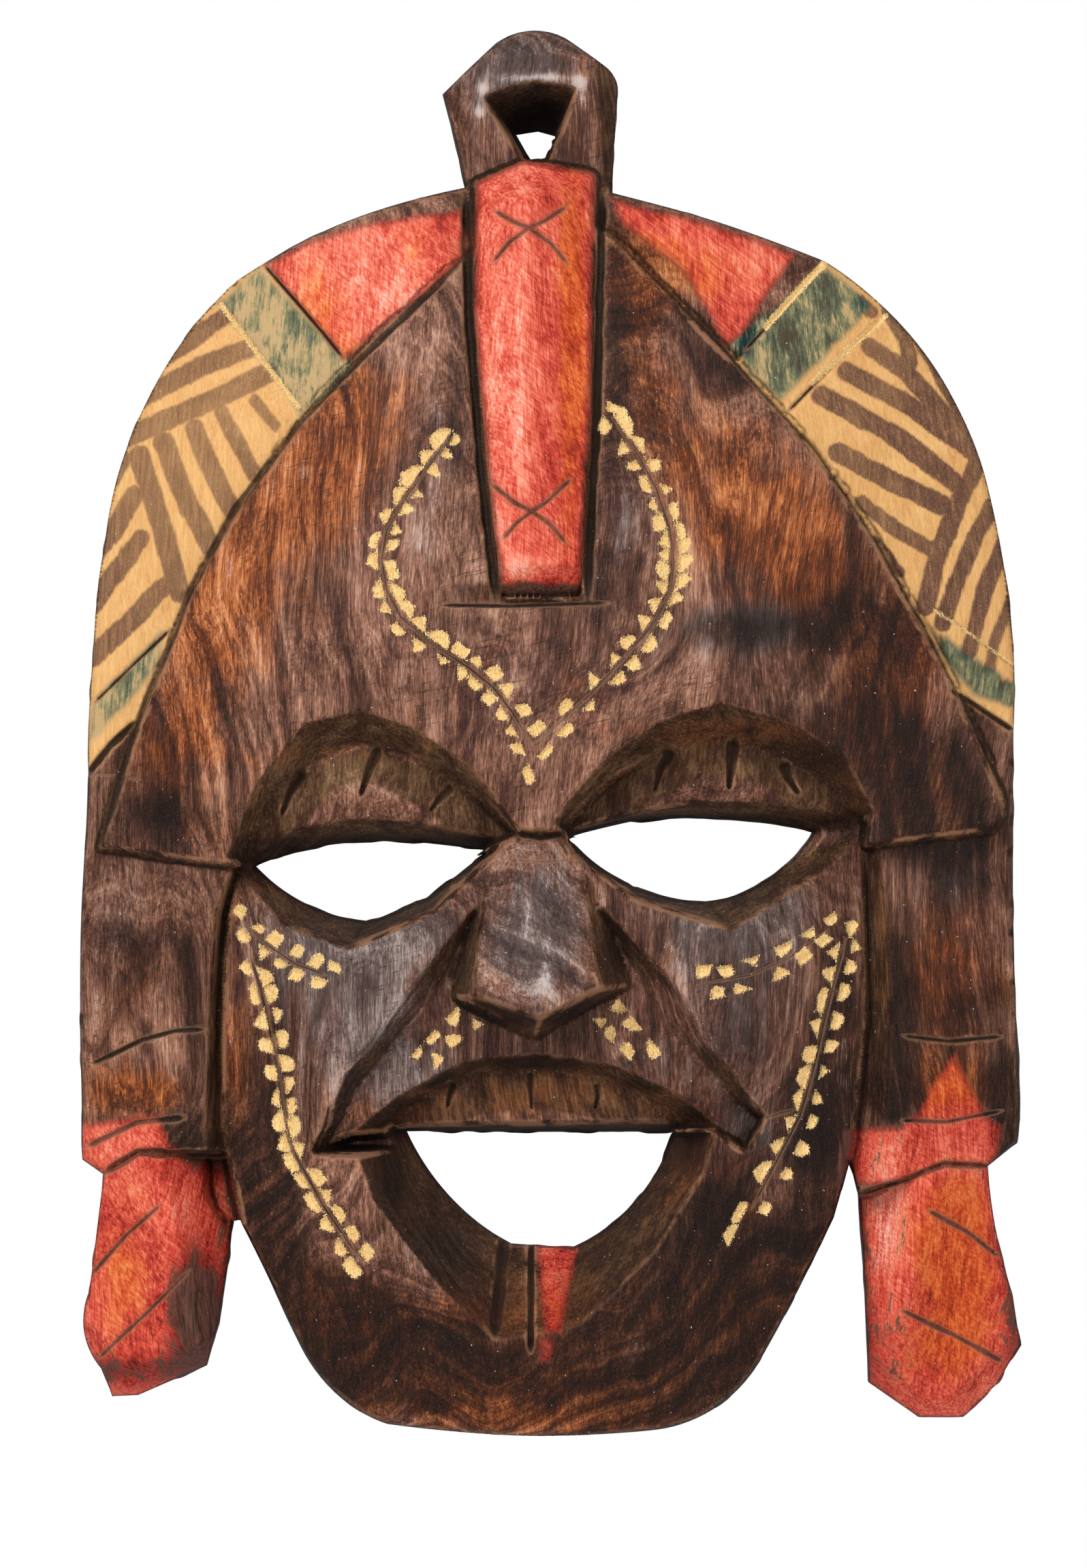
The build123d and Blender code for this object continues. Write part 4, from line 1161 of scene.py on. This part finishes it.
# Colours from dark to light: the place of each on a scale from 0 to 1, and its display colour.
PALETTES = {
    "brown": ((0.0, 32, 16, 12), (0.3, 90, 56, 43), (0.6, 146, 102, 82), (1.0, 212, 168, 142)),
    "orange": ((0.0, 36, 14, 6), (0.33, 104, 50, 22), (0.62, 176, 100, 54), (1.0, 232, 168, 114)),
    "grey": ((0.0, 44, 34, 32), (0.45, 94, 82, 79), (1.0, 186, 174, 169)),
    "deep": ((0.0, 12, 5, 3), (0.4, 28, 13, 8), (0.7, 62, 29, 13), (1.0, 138, 76, 36)),
    "dull": ((0.38, 26, 14, 9), (0.49, 66, 42, 27), (0.58, 112, 84, 56), (0.68, 164, 136, 102)),
    "rusty": ((0.38, 44, 18, 8), (0.5, 104, 54, 28), (0.64, 160, 96, 56)),
    "torn red": ((0.4, 60, 24, 18), (0.62, 150, 88, 70)),
    "bare": ((0.3, 160, 102, 58), (0.43, 208, 152, 92), (0.58, 232, 184, 120), (0.75, 242, 208, 154)),
    "brush": ((0.36, 62, 38, 32), (0.52, 108, 74, 58), (0.64, 162, 116, 82)),
    "red": (
        (0.3, 84, 16, 12),
        (0.43, 176, 50, 38),
        (0.54, 218, 92, 70),
        (0.65, 240, 142, 116),
        (0.78, 248, 200, 184),
    ),
    "orange red": ((0.3, 92, 22, 6), (0.46, 184, 62, 24), (0.6, 224, 112, 56), (0.76, 242, 172, 112)),
    "painted_shade": ((0.35, 30, 19, 17), (0.65, 96, 66, 54)),
    "green": ((0.4, 16, 40, 38), (0.49, 50, 82, 70), (0.56, 112, 118, 86), (0.65, 184, 156, 112)),
    "nick": ((0.34, 150, 100, 54), (0.44, 218, 172, 106), (0.56, 240, 208, 144), (0.7, 250, 232, 184)),
    "behind": ((0.32, 84, 53, 36), (0.5, 132, 90, 58), (0.68, 178, 134, 90)),
}


def srgb(red, green, blue):
    """A linear colour from 0 to 255 display values."""
    values = [value / 255 for value in (red, green, blue)]
    return (*(v / 12.92 if v <= 0.04045 else ((v + 0.055) / 1.055) ** 2.4 for v in values), 1)


class Graph:
    """Short calls that build one material's nodes. Distances are in millimetres."""

    def __init__(self, name):
        self.material = bpy.data.materials.new(name)
        self.material.use_nodes = True
        self.tree = self.material.node_tree
        self.shader = self.tree.nodes["Principled BSDF"]
        coordinates = self.tree.nodes.new("ShaderNodeTexCoord").outputs["Object"]
        self.place = self.vector("MULTIPLY", coordinates, (1000, 1000, 1000))

    def feed(self, socket, value):
        """Link a socket to another, or set its value."""
        if isinstance(value, bpy.types.NodeSocket):
            self.tree.links.new(value, socket)
        else:
            socket.default_value = value

    def node(self, kind, inputs, **settings):
        """A shader node with its inputs fed and its settings set."""
        made = self.tree.nodes.new(kind)
        for name, value in settings.items():
            setattr(made, name, value)
        for name, value in inputs.items():
            self.feed(made.inputs[name], value)
        return made

    def vector(self, operation, a, b):
        return self.node("ShaderNodeVectorMath", {0: a, 1: b}, operation=operation).outputs["Vector"]

    def math(self, operation, *values):
        """A maths operation between the first two values, then between its result and the next."""
        result = values[0]
        for value in values[1:]:
            result = self.node("ShaderNodeMath", {0: result, 1: value}, operation=operation).outputs["Value"]
        return result

    def add(self, *values):
        return self.math("ADD", *values)

    def times(self, *values):
        return self.math("MULTIPLY", *values)

    def turned(self, degrees):
        """Places turned round the front-to-back axis."""
        cosine, sine = math.cos(math.radians(degrees)), math.sin(math.radians(degrees))
        axes = ((cosine, 0, sine), (0, 1, 0), (-sine, 0, cosine))
        dots = {}
        for index, axis in enumerate(axes):
            dot = self.node("ShaderNodeVectorMath", {0: self.place, 1: axis}, operation="DOT_PRODUCT")
            dots[index] = dot.outputs["Value"]
        return self.node("ShaderNodeCombineXYZ", dots).outputs[0]

    def along(self, axis):
        """How far a place is along X, Y or Z."""
        return self.node("ShaderNodeSeparateXYZ", {0: self.place}).outputs[axis]

    def field(self, name):
        """One of the front's fields."""
        return self.node("ShaderNodeAttribute", {}, attribute_name=name).outputs["Fac"]

    def noise(self, stretch, detail=2.0, rough=0.55, place=None, shift=(0, 0, 0)):
        """Noise from 0 to 1. The stretch is how often it repeats in a millimetre, each way."""
        scaled = self.vector("MULTIPLY", place or self.place, stretch)
        moved = self.vector("ADD", scaled, shift)
        inputs = {"Vector": moved, "Scale": 1.0, "Detail": detail, "Roughness": rough}
        return self.node("ShaderNodeTexNoise", inputs).outputs["Fac"]

    def rise(self, value, low, high, first=0.0, last=1.0):
        """A smooth step from one level to another."""
        inputs = {"Value": value, "From Min": low, "From Max": high, "To Min": first, "To Max": last}
        return self.node("ShaderNodeMapRange", inputs, interpolation_type="SMOOTHSTEP").outputs["Result"]

    def mix(self, share, a, b):
        """Colour a, giving way to colour b."""
        made = self.tree.nodes.new("ShaderNodeMix")
        made.data_type = "RGBA"
        self.feed(made.inputs[0], share)
        self.feed(made.inputs[6], a)
        self.feed(made.inputs[7], b)
        return made.outputs[2]

    def shades(self, value, palette):
        """The colours of a palette along a value."""
        made = self.node("ShaderNodeValToRGB", {"Fac": value})
        stops = PALETTES[palette]
        for place, *_ in stops[2:]:
            made.color_ramp.elements.new(place)
        for element, (place, *colour) in zip(made.color_ramp.elements, stops):
            element.position = place
            element.color = srgb(*colour)
        return made.outputs["Color"]


class Wood:
    """One block of wood with one grain. Each slot's material is a version of it."""

    def __init__(self, name, paint_strength):
        g = self.g = Graph(name)
        self.paint_strength = paint_strength
        swayed = self.bent(self.bent(g.place, (0.017, 0.017, 0.011), 26), (0.07, 0.07, 0.03), 5)
        self.grain_place = swayed
        self.fibre = g.noise((1.55, 1.55, 0.07), 5.0, 0.76, swayed)
        self.fine = g.noise((4.6, 4.6, 0.42), 3.0, 0.72, swayed, (3, 7, 1))
        self.band = g.noise((0.42, 0.42, 0.02), 2.0, 0.5, swayed, (11, 4, 9))
        self.ring = self.rings()
        self.cloud = g.noise((0.05, 0.05, 0.036), 3.0, 0.62, None, (5, 2, 8))
        self.patch = g.noise((0.17, 0.17, 0.08), 5.0, 0.7, swayed, (1, 9, 4))
        self.speck = g.noise((3.4, 3.4, 3.4), 2.0, 0.7, None, (7, 7, 7))
        self.scratch = g.noise((0.07, 1.7, 1.9), 3.0, 0.62, g.turned(14), (2, 3, 5))
        self.hatch = g.noise((0.12, 2.1, 2.1), 3.0, 0.62, g.turned(-38), (6, 1, 2))
        self.edge = g.field("edge")
        self.recess = g.field("recess")
        self.dark = g.field("dark")
        self.pale = g.field("pale")
        self.warm = g.field("warm")

    def bent(self, place, stretch, amount):
        """Places pushed sideways, so that the grain wanders."""
        g = self.g
        push = g.times(g.noise(stretch, 1.0, 0.5, place), amount)
        return g.vector("ADD", place, g.node("ShaderNodeCombineXYZ", {0: push, 1: push, 2: 0.0}).outputs[0])

    def rings(self):
        """Growth rings round a heart that lies behind the mask, to one side."""
        g = self.g
        away = g.vector("SUBTRACT", self.grain_place, (34, 84, 0))
        flat = g.vector("MULTIPLY", away, (1, 1, 0))
        radius = g.node("ShaderNodeVectorMath", {0: flat}, operation="LENGTH").outputs["Value"]
        ways = {0: g.times(radius, 0.55), 1: g.times(g.along("Z"), 0.012), 2: 0.0}
        return g.noise((1, 1, 1), 4.0, 0.68, g.node("ShaderNodeCombineXYZ", ways).outputs[0])

    def blend(self, **shares):
        """Some of the noises and fields, each in its share."""
        return self.g.add(*(self.g.times(getattr(self, name), share) for name, share in shares.items()))

    def broken(self, level, grains, amount, *limits):
        """A smooth step of a level, with its edge broken up by some of the noises."""
        g = self.g
        swing = g.add(*grains, -0.5 * len(grains))
        return g.rise(g.add(level, g.times(swing, amount)), *limits)

    def stained(self):
        """Dark stain over pale wood, thin where hands wore it, thick where it pooled; painted sheen and
        highlights.
        """
        g = self.g
        grain = self.blend(fibre=0.3, ring=0.38, band=0.1, patch=0.22, fine=0.24, pale=0.06)
        tone = g.rise(grain, 0.5, 0.82)
        warm = self.broken(self.warm, (self.cloud, self.patch), 1.3, 0.15, 0.85)
        # Painted sheen: the stain turns grey where the sheen patches lie.
        painted_sheen = self.broken(g.field("painted_sheen"), (self.band, self.patch), 1.0, 0.2, 0.95)
        dark = self.broken(self.dark, (self.cloud, self.patch), 1.5, 0.2, 0.86)
        colour = g.mix(warm, g.shades(tone, "brown"), g.shades(tone, "orange"))
        colour = g.mix(g.times(painted_sheen, 0.85), colour, g.shades(tone, "grey"))
        # Deeper stain where the dark patches lie; at the crest bar's foot and channels it is painted shade.
        colour = g.mix(g.times(dark, 0.92), colour, g.shades(tone, "deep"))
        # Whitish grey where the pale spots are strongest: painted highlight on the nose ridge, the knob and
        # the lids, and wear on the ear's edge.
        wear_and_highlight = self.broken(self.pale, (self.fibre, self.patch), 4, 1.0, 2.2, 0, 0.62)
        colour = g.mix(wear_and_highlight, colour, srgb(196, 184, 182))
        scratched = g.times(g.rise(self.scratch, 0.57, 0.66), g.rise(self.cloud, 0.4, 0.58), 0.6)
        return g.mix(scratched, colour, srgb(36, 20, 16))

    def hollowed(self, colour):
        """Walls left from the knife: dull, rusty in places, with painted shade on the walls that face down
        and at the bottom of the hollows.
        """
        g = self.g
        grain = self.blend(fibre=0.4, speck=0.15, patch=0.45)
        dull = g.shades(g.add(grain, g.times(self.pale, 0.08)), "dull")
        rusty = self.broken(self.warm, (self.patch,), 2, 0.1, 0.9, 0, 0.8)
        dull = g.mix(rusty, dull, g.shades(grain, "rusty"))
        # Painted shade: the walls under the brows, the lids, the nose and the lips turn almost black.
        darkened = self.broken(g.field("painted_shade"), (self.patch,), 1.6, 0.3, 0.9, 0, 0.86)
        dull = g.mix(darkened, dull, srgb(19, 11, 8))
        colour = g.mix(g.times(self.recess, 0.86), colour, dull)
        # Painted shade at the bottom of the hollows, darker the deeper they lie.
        return g.mix(g.times(g.field("shade"), 0.36), colour, srgb(24, 13, 8))

    def ridge_wear_and_highlight(self, colour):
        """Ridges made lighter: partly where hands have taken off the stain, partly a painted highlight on
        every convex edge.
        """
        g = self.g
        ridge = g.times(g.rise(self.edge, 0.06, 0.34), g.rise(self.patch, 0.4, 0.56), 0.6)
        return g.mix(ridge, colour, srgb(170, 122, 92))

    def cut_and_crease_shade(self, colour):
        """Painted shade in the creases and the cuts, and a lighter lip along each cut, partly wear and partly
        painted highlight.
        """
        g = self.g
        # Painted shade: concave creases darken almost to black.
        hollow = g.rise(g.times(self.edge, -1), 0.04, 0.42, 0, 0.66)
        colour = g.mix(hollow, colour, srgb(18, 9, 6))
        cut = g.add(g.field("cut"), g.times(g.add(self.speck, -0.5), 0.5))
        # A lighter lip along each cut's edge: partly wear, partly painted highlight.
        lip = g.times(g.rise(cut, 0.02, 0.2, 0, 0.4), g.add(1, g.times(self.recess, -0.8)))
        colour = g.mix(lip, colour, srgb(150, 112, 84))
        # Painted shade inside the cuts, dark brown; where a cut goes through red paint, torn red paint shows
        # instead.
        share = g.times(g.rise(cut, 0.2, 0.7, 0, 0.9), g.add(1, g.times(self.recess, -0.3)))
        torn = g.shades(self.blend(speck=0.5, patch=0.5), "torn red")
        inside = g.mix(g.rise(g.field("red"), 0.3, 1.5), srgb(26, 15, 11), torn)
        return g.mix(share, colour, inside)

    def ragged(self, name, tear, soft):
        """How much of a paint is there: its edge follows the grain and the pores."""
        return self.broken(self.g.field(name), (self.fibre, self.patch), tear, -soft, soft)

    def panels(self, colour):
        """Bare pale wood with its fine grain and brushed brown strokes."""
        g = self.g
        wood = g.shades(self.blend(fibre=0.4, fine=0.25, ring=0.15, patch=0.2), "bare")
        brown = g.shades(self.blend(fibre=0.6, speck=0.4), "brush")
        strength = g.add(g.rise(self.cloud, 0.3, 0.6, 0.82, 0.97), g.times(self.pale, -0.24))
        wood = g.mix(g.times(self.ragged("stroke", 2.0, 0.35), strength), wood, brown)
        return g.mix(self.ragged("bare", 2.0, 0.6), colour, wood)

    def red(self, colour):
        """Thin red paint: streaky, with a whitish-pink painted highlight on its ridges, and dark where it
        bled at its edges.
        """
        g = self.g
        streak = g.add(self.blend(fibre=0.4, patch=0.35, hatch=0.25), -0.5)
        streak = g.add(g.times(streak, 1.5), 0.5, self.blend(pale=0.11, dark=-0.09))
        orange = self.broken(self.warm, (self.patch,), 1.6, 0.25, 0.85)
        paint = g.mix(orange, g.shades(streak, "red"), g.shades(streak, "orange red"))
        # Painted highlight: whitish pink along the ridges of the crest bar and the right earring.
        shine = self.broken(self.pale, (self.fibre, self.hatch), 1.6, 0.95, 2.0, 0, 0.7)
        paint = g.mix(shine, paint, srgb(250, 206, 198))
        margin = self.broken(g.field("red"), (self.patch,), 2, 0.2, 1.8, 0.6, 0)
        paint = g.mix(margin, paint, srgb(92, 30, 26))
        # Where the dark patches lie, the red turns grey-brown: painted shade on the crest bar's lower bevel,
        # and darker patches on the earrings.
        darkened = self.broken(self.dark, (self.patch, self.fibre), 2.4, 0.5, 0.8, 0, 0.94)
        paint = g.mix(darkened, paint, g.shades(self.fibre, "painted_shade"))
        cover = g.times(self.ragged("red", 2.6, 0.5), g.rise(self.fine, 0.2, 0.42, 0.8, 1.0))
        return g.mix(g.times(cover, self.paint_strength), colour, paint)

    def green(self, colour):
        """Green stain. The pale wood shows through it, and more so on the mask's left."""
        g = self.g
        faded = g.rise(g.along("X"), -20, 20, 0.1, 0)
        streak = g.times(g.add(self.blend(fibre=0.4, patch=0.6), -0.5), 1.5)
        paint = g.shades(g.add(streak, 0.49, faded), "green")
        cover = g.times(self.ragged("green", 4.5, 0.9), g.rise(self.speck, 0.25, 0.5, 0.8, 0.97))
        return g.mix(g.times(cover, self.paint_strength), colour, paint)

    def nicked(self, colour):
        """Fresh wood in the nicks and scratches, with torn edges and specks."""
        g = self.g
        torn = g.add(g.times(g.add(self.speck, -0.5), 1.5), g.times(g.add(self.fine, -0.5), 1.3))
        inside = g.rise(g.add(g.field("nick"), torn), -0.02, 0.12)
        return g.mix(inside, colour, g.shades(self.blend(fine=0.5, speck=0.5), "nick"))

    def backed(self, colour):
        """The back: thin stain over gouged wood, never polished, with painted shade deeper in its hollow."""
        g = self.g
        rough = g.shades(self.blend(fibre=0.4, ring=0.35, cloud=0.25), "behind")
        # Painted shade deeper in the back's hollow.
        rough = g.mix(g.times(g.field("shade"), 0.35), rough, srgb(66, 42, 29))
        return g.mix(g.field("back"), colour, rough)

    def dusty(self, colour):
        """A few specks of pale dust."""
        g = self.g
        dust = g.noise((1.9, 1.9, 1.9), 0.0, 0.5, None, (9, 1, 3))
        return g.mix(g.rise(dust, 0.865, 0.885, 0, 0.75), colour, srgb(205, 196, 186))

    def finished(self):
        """The material: stain first, then paint, then painted shade in the cuts and creases and what the
        knife and the years did.
        """
        g = self.g
        colour = self.ridge_wear_and_highlight(self.hollowed(self.stained()))
        colour = self.red(self.green(self.panels(colour)))
        colour = self.dusty(self.backed(self.nicked(self.cut_and_crease_shade(colour))))
        g.feed(g.shader.inputs["Base Color"], colour)
        g.feed(g.shader.inputs["Roughness"], self.roughness())
        g.feed(g.shader.inputs["Specular IOR Level"], 0.13)
        g.feed(g.shader.inputs["Normal"], self.relief())
        return g.material

    def roughness(self):
        """Waxed on the polished face, dull in hollows, on paint, in nicks and behind."""
        g = self.g
        waxed = g.add(0.3, self.blend(fibre=0.16, patch=0.16))
        dull = g.rise(g.field("nick"), -0.1, 0.1)
        for name in ("red", "green", "bare"):
            dull = g.math("MAXIMUM", dull, g.rise(g.field(name), -0.4, 0.4, 0, 0.4))
        dull = g.math("MAXIMUM", dull, self.recess, g.field("back"))
        return g.add(waxed, g.times(dull, 0.38))

    def relief(self):
        """Fibres, pores and scratches that are finer than the mesh."""
        g = self.g
        height = g.add(
            self.blend(fibre=0.5, fine=0.25, scratch=0.2, hatch=0.15),
            g.times(self.speck, self.recess, 0.6),
            g.times(self.speck, g.field("back"), 0.4),
        )
        bump = {"Height": height, "Strength": 0.6, "Distance": 0.0005}
        return g.node("ShaderNodeBump", bump).outputs["Normal"]


PAINT_STRENGTHS = {
    "dark_wood": 0.95,
    "raw_carved_wood": 0.9,
    "red_painted_wood": 1.0,
    "green_painted_wood": 0.95,
    "striped_wood": 0.95,
}
slot_materials = {
    slot: Wood(slot + "_look", strength).finished() for slot, strength in PAINT_STRENGTHS.items()
}


def carved_pieces():
    """One object for each node, which takes the CAD's place."""
    for index, name in enumerate(node_names):
        mesh = Piece(index).build()
        piece = bpy.data.objects.new(name + "_carved", mesh)
        bpy.context.scene.collection.objects.link(piece)
        mesh.materials.append(slot_materials[slots[name]])
        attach(piece, "root")
        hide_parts(name)


carved_pieces()


# Stage, light and camera


CENTRE_X, CENTRE_Z = 1.9, -140.2  # middle of the view
VIEW_HEIGHT = 335.8  # what the image covers at the mask's outline
OUTLINE_DEPTH = 20
CAMERA_AWAY = 4000
SENSOR = 36
FLOOR_RADIUS, FLOOR_PLACE = 0.45, (0, -0.05, -0.36)  # in metres, as the lights are
MASK_MIDDLE = (0, 0, -0.14)
# Each lamp: its name, its place, the side of its square and its power.
LAMPS = (("key", (-0.6, -1.1, 0.5), 0.6, 13), ("fill", (0.8, -1.0, 0.0), 0.7, 4))
LIGHT_BELOW, LIGHT_ABOVE = 0.18, 0.7  # the room's light
LIGHT_TURN = 0.8  # it changes between this far down and this far up


def floor():
    """A pale disc under the mask, for other views."""
    bpy.ops.mesh.primitive_circle_add(vertices=96, radius=FLOOR_RADIUS, fill_type="NGON")
    disc = bpy.context.object
    disc.name = "floor"
    disc.location = FLOOR_PLACE
    material = bpy.data.materials.new("pale_floor")
    material.use_nodes = True
    shader = material.node_tree.nodes["Principled BSDF"]
    shader.inputs["Base Color"].default_value = (0.85, 0.85, 0.85, 1)
    shader.inputs["Roughness"].default_value = 0.9
    disc.data.materials.append(material)


def lamp(name, place, side, power):
    """A square lamp that faces the mask."""
    data = bpy.data.lights.new(name, "AREA")
    data.shape = "RECTANGLE"
    data.size = data.size_y = side
    data.energy = power
    light = bpy.data.objects.new(name, data)
    light.location = place
    light.rotation_euler = (Vector(MASK_MIDDLE) - Vector(place)).to_track_quat("-Z", "Y").to_euler()
    bpy.context.scene.collection.objects.link(light)


def room():
    """White behind the mask, and a soft light that is stronger from above."""
    world = bpy.data.worlds.new("studio")
    world.use_nodes = True
    tree = world.node_tree
    background = tree.nodes["Background"].inputs
    background["Color"].default_value = (1, 1, 1, 1)
    way = tree.nodes.new("ShaderNodeTexCoord").outputs["Generated"]
    up = tree.nodes.new("ShaderNodeSeparateXYZ")
    tree.links.new(way, up.inputs[0])
    glow = tree.nodes.new("ShaderNodeMapRange")
    limits = {"From Min": -LIGHT_TURN, "From Max": LIGHT_TURN, "To Min": LIGHT_BELOW, "To Max": LIGHT_ABOVE}
    for name, value in limits.items():
        glow.inputs[name].default_value = value
    tree.links.new(up.outputs["Z"], glow.inputs["Value"])
    strength = tree.nodes.new("ShaderNodeMix")
    strength.inputs["B"].default_value = 1.0
    seen = tree.nodes.new("ShaderNodeLightPath").outputs["Is Camera Ray"]
    tree.links.new(seen, strength.inputs["Factor"])
    tree.links.new(glow.outputs["Result"], strength.inputs["A"])
    tree.links.new(strength.outputs["Result"], background["Strength"])
    bpy.context.scene.world = world


def camera():
    """A long lens straight in front, so that nothing is foreshortened."""
    data = bpy.data.cameras.new("camera")
    data.sensor_width = SENSOR
    data.lens = SENSOR * CAMERA_AWAY / VIEW_HEIGHT
    data.clip_end = 20
    taker = bpy.data.objects.new("camera", data)
    taker.location = (CENTRE_X * MM, -(CAMERA_AWAY + OUTLINE_DEPTH) * MM, CENTRE_Z * MM)
    taker.rotation_euler = (math.radians(90), 0, 0)
    bpy.context.scene.collection.objects.link(taker)
    bpy.context.scene.camera = taker


floor()
room()
for name, place, side, power in LAMPS:
    lamp(name, place, side, power)
camera()
bpy.context.scene.view_settings.view_transform = "Standard"
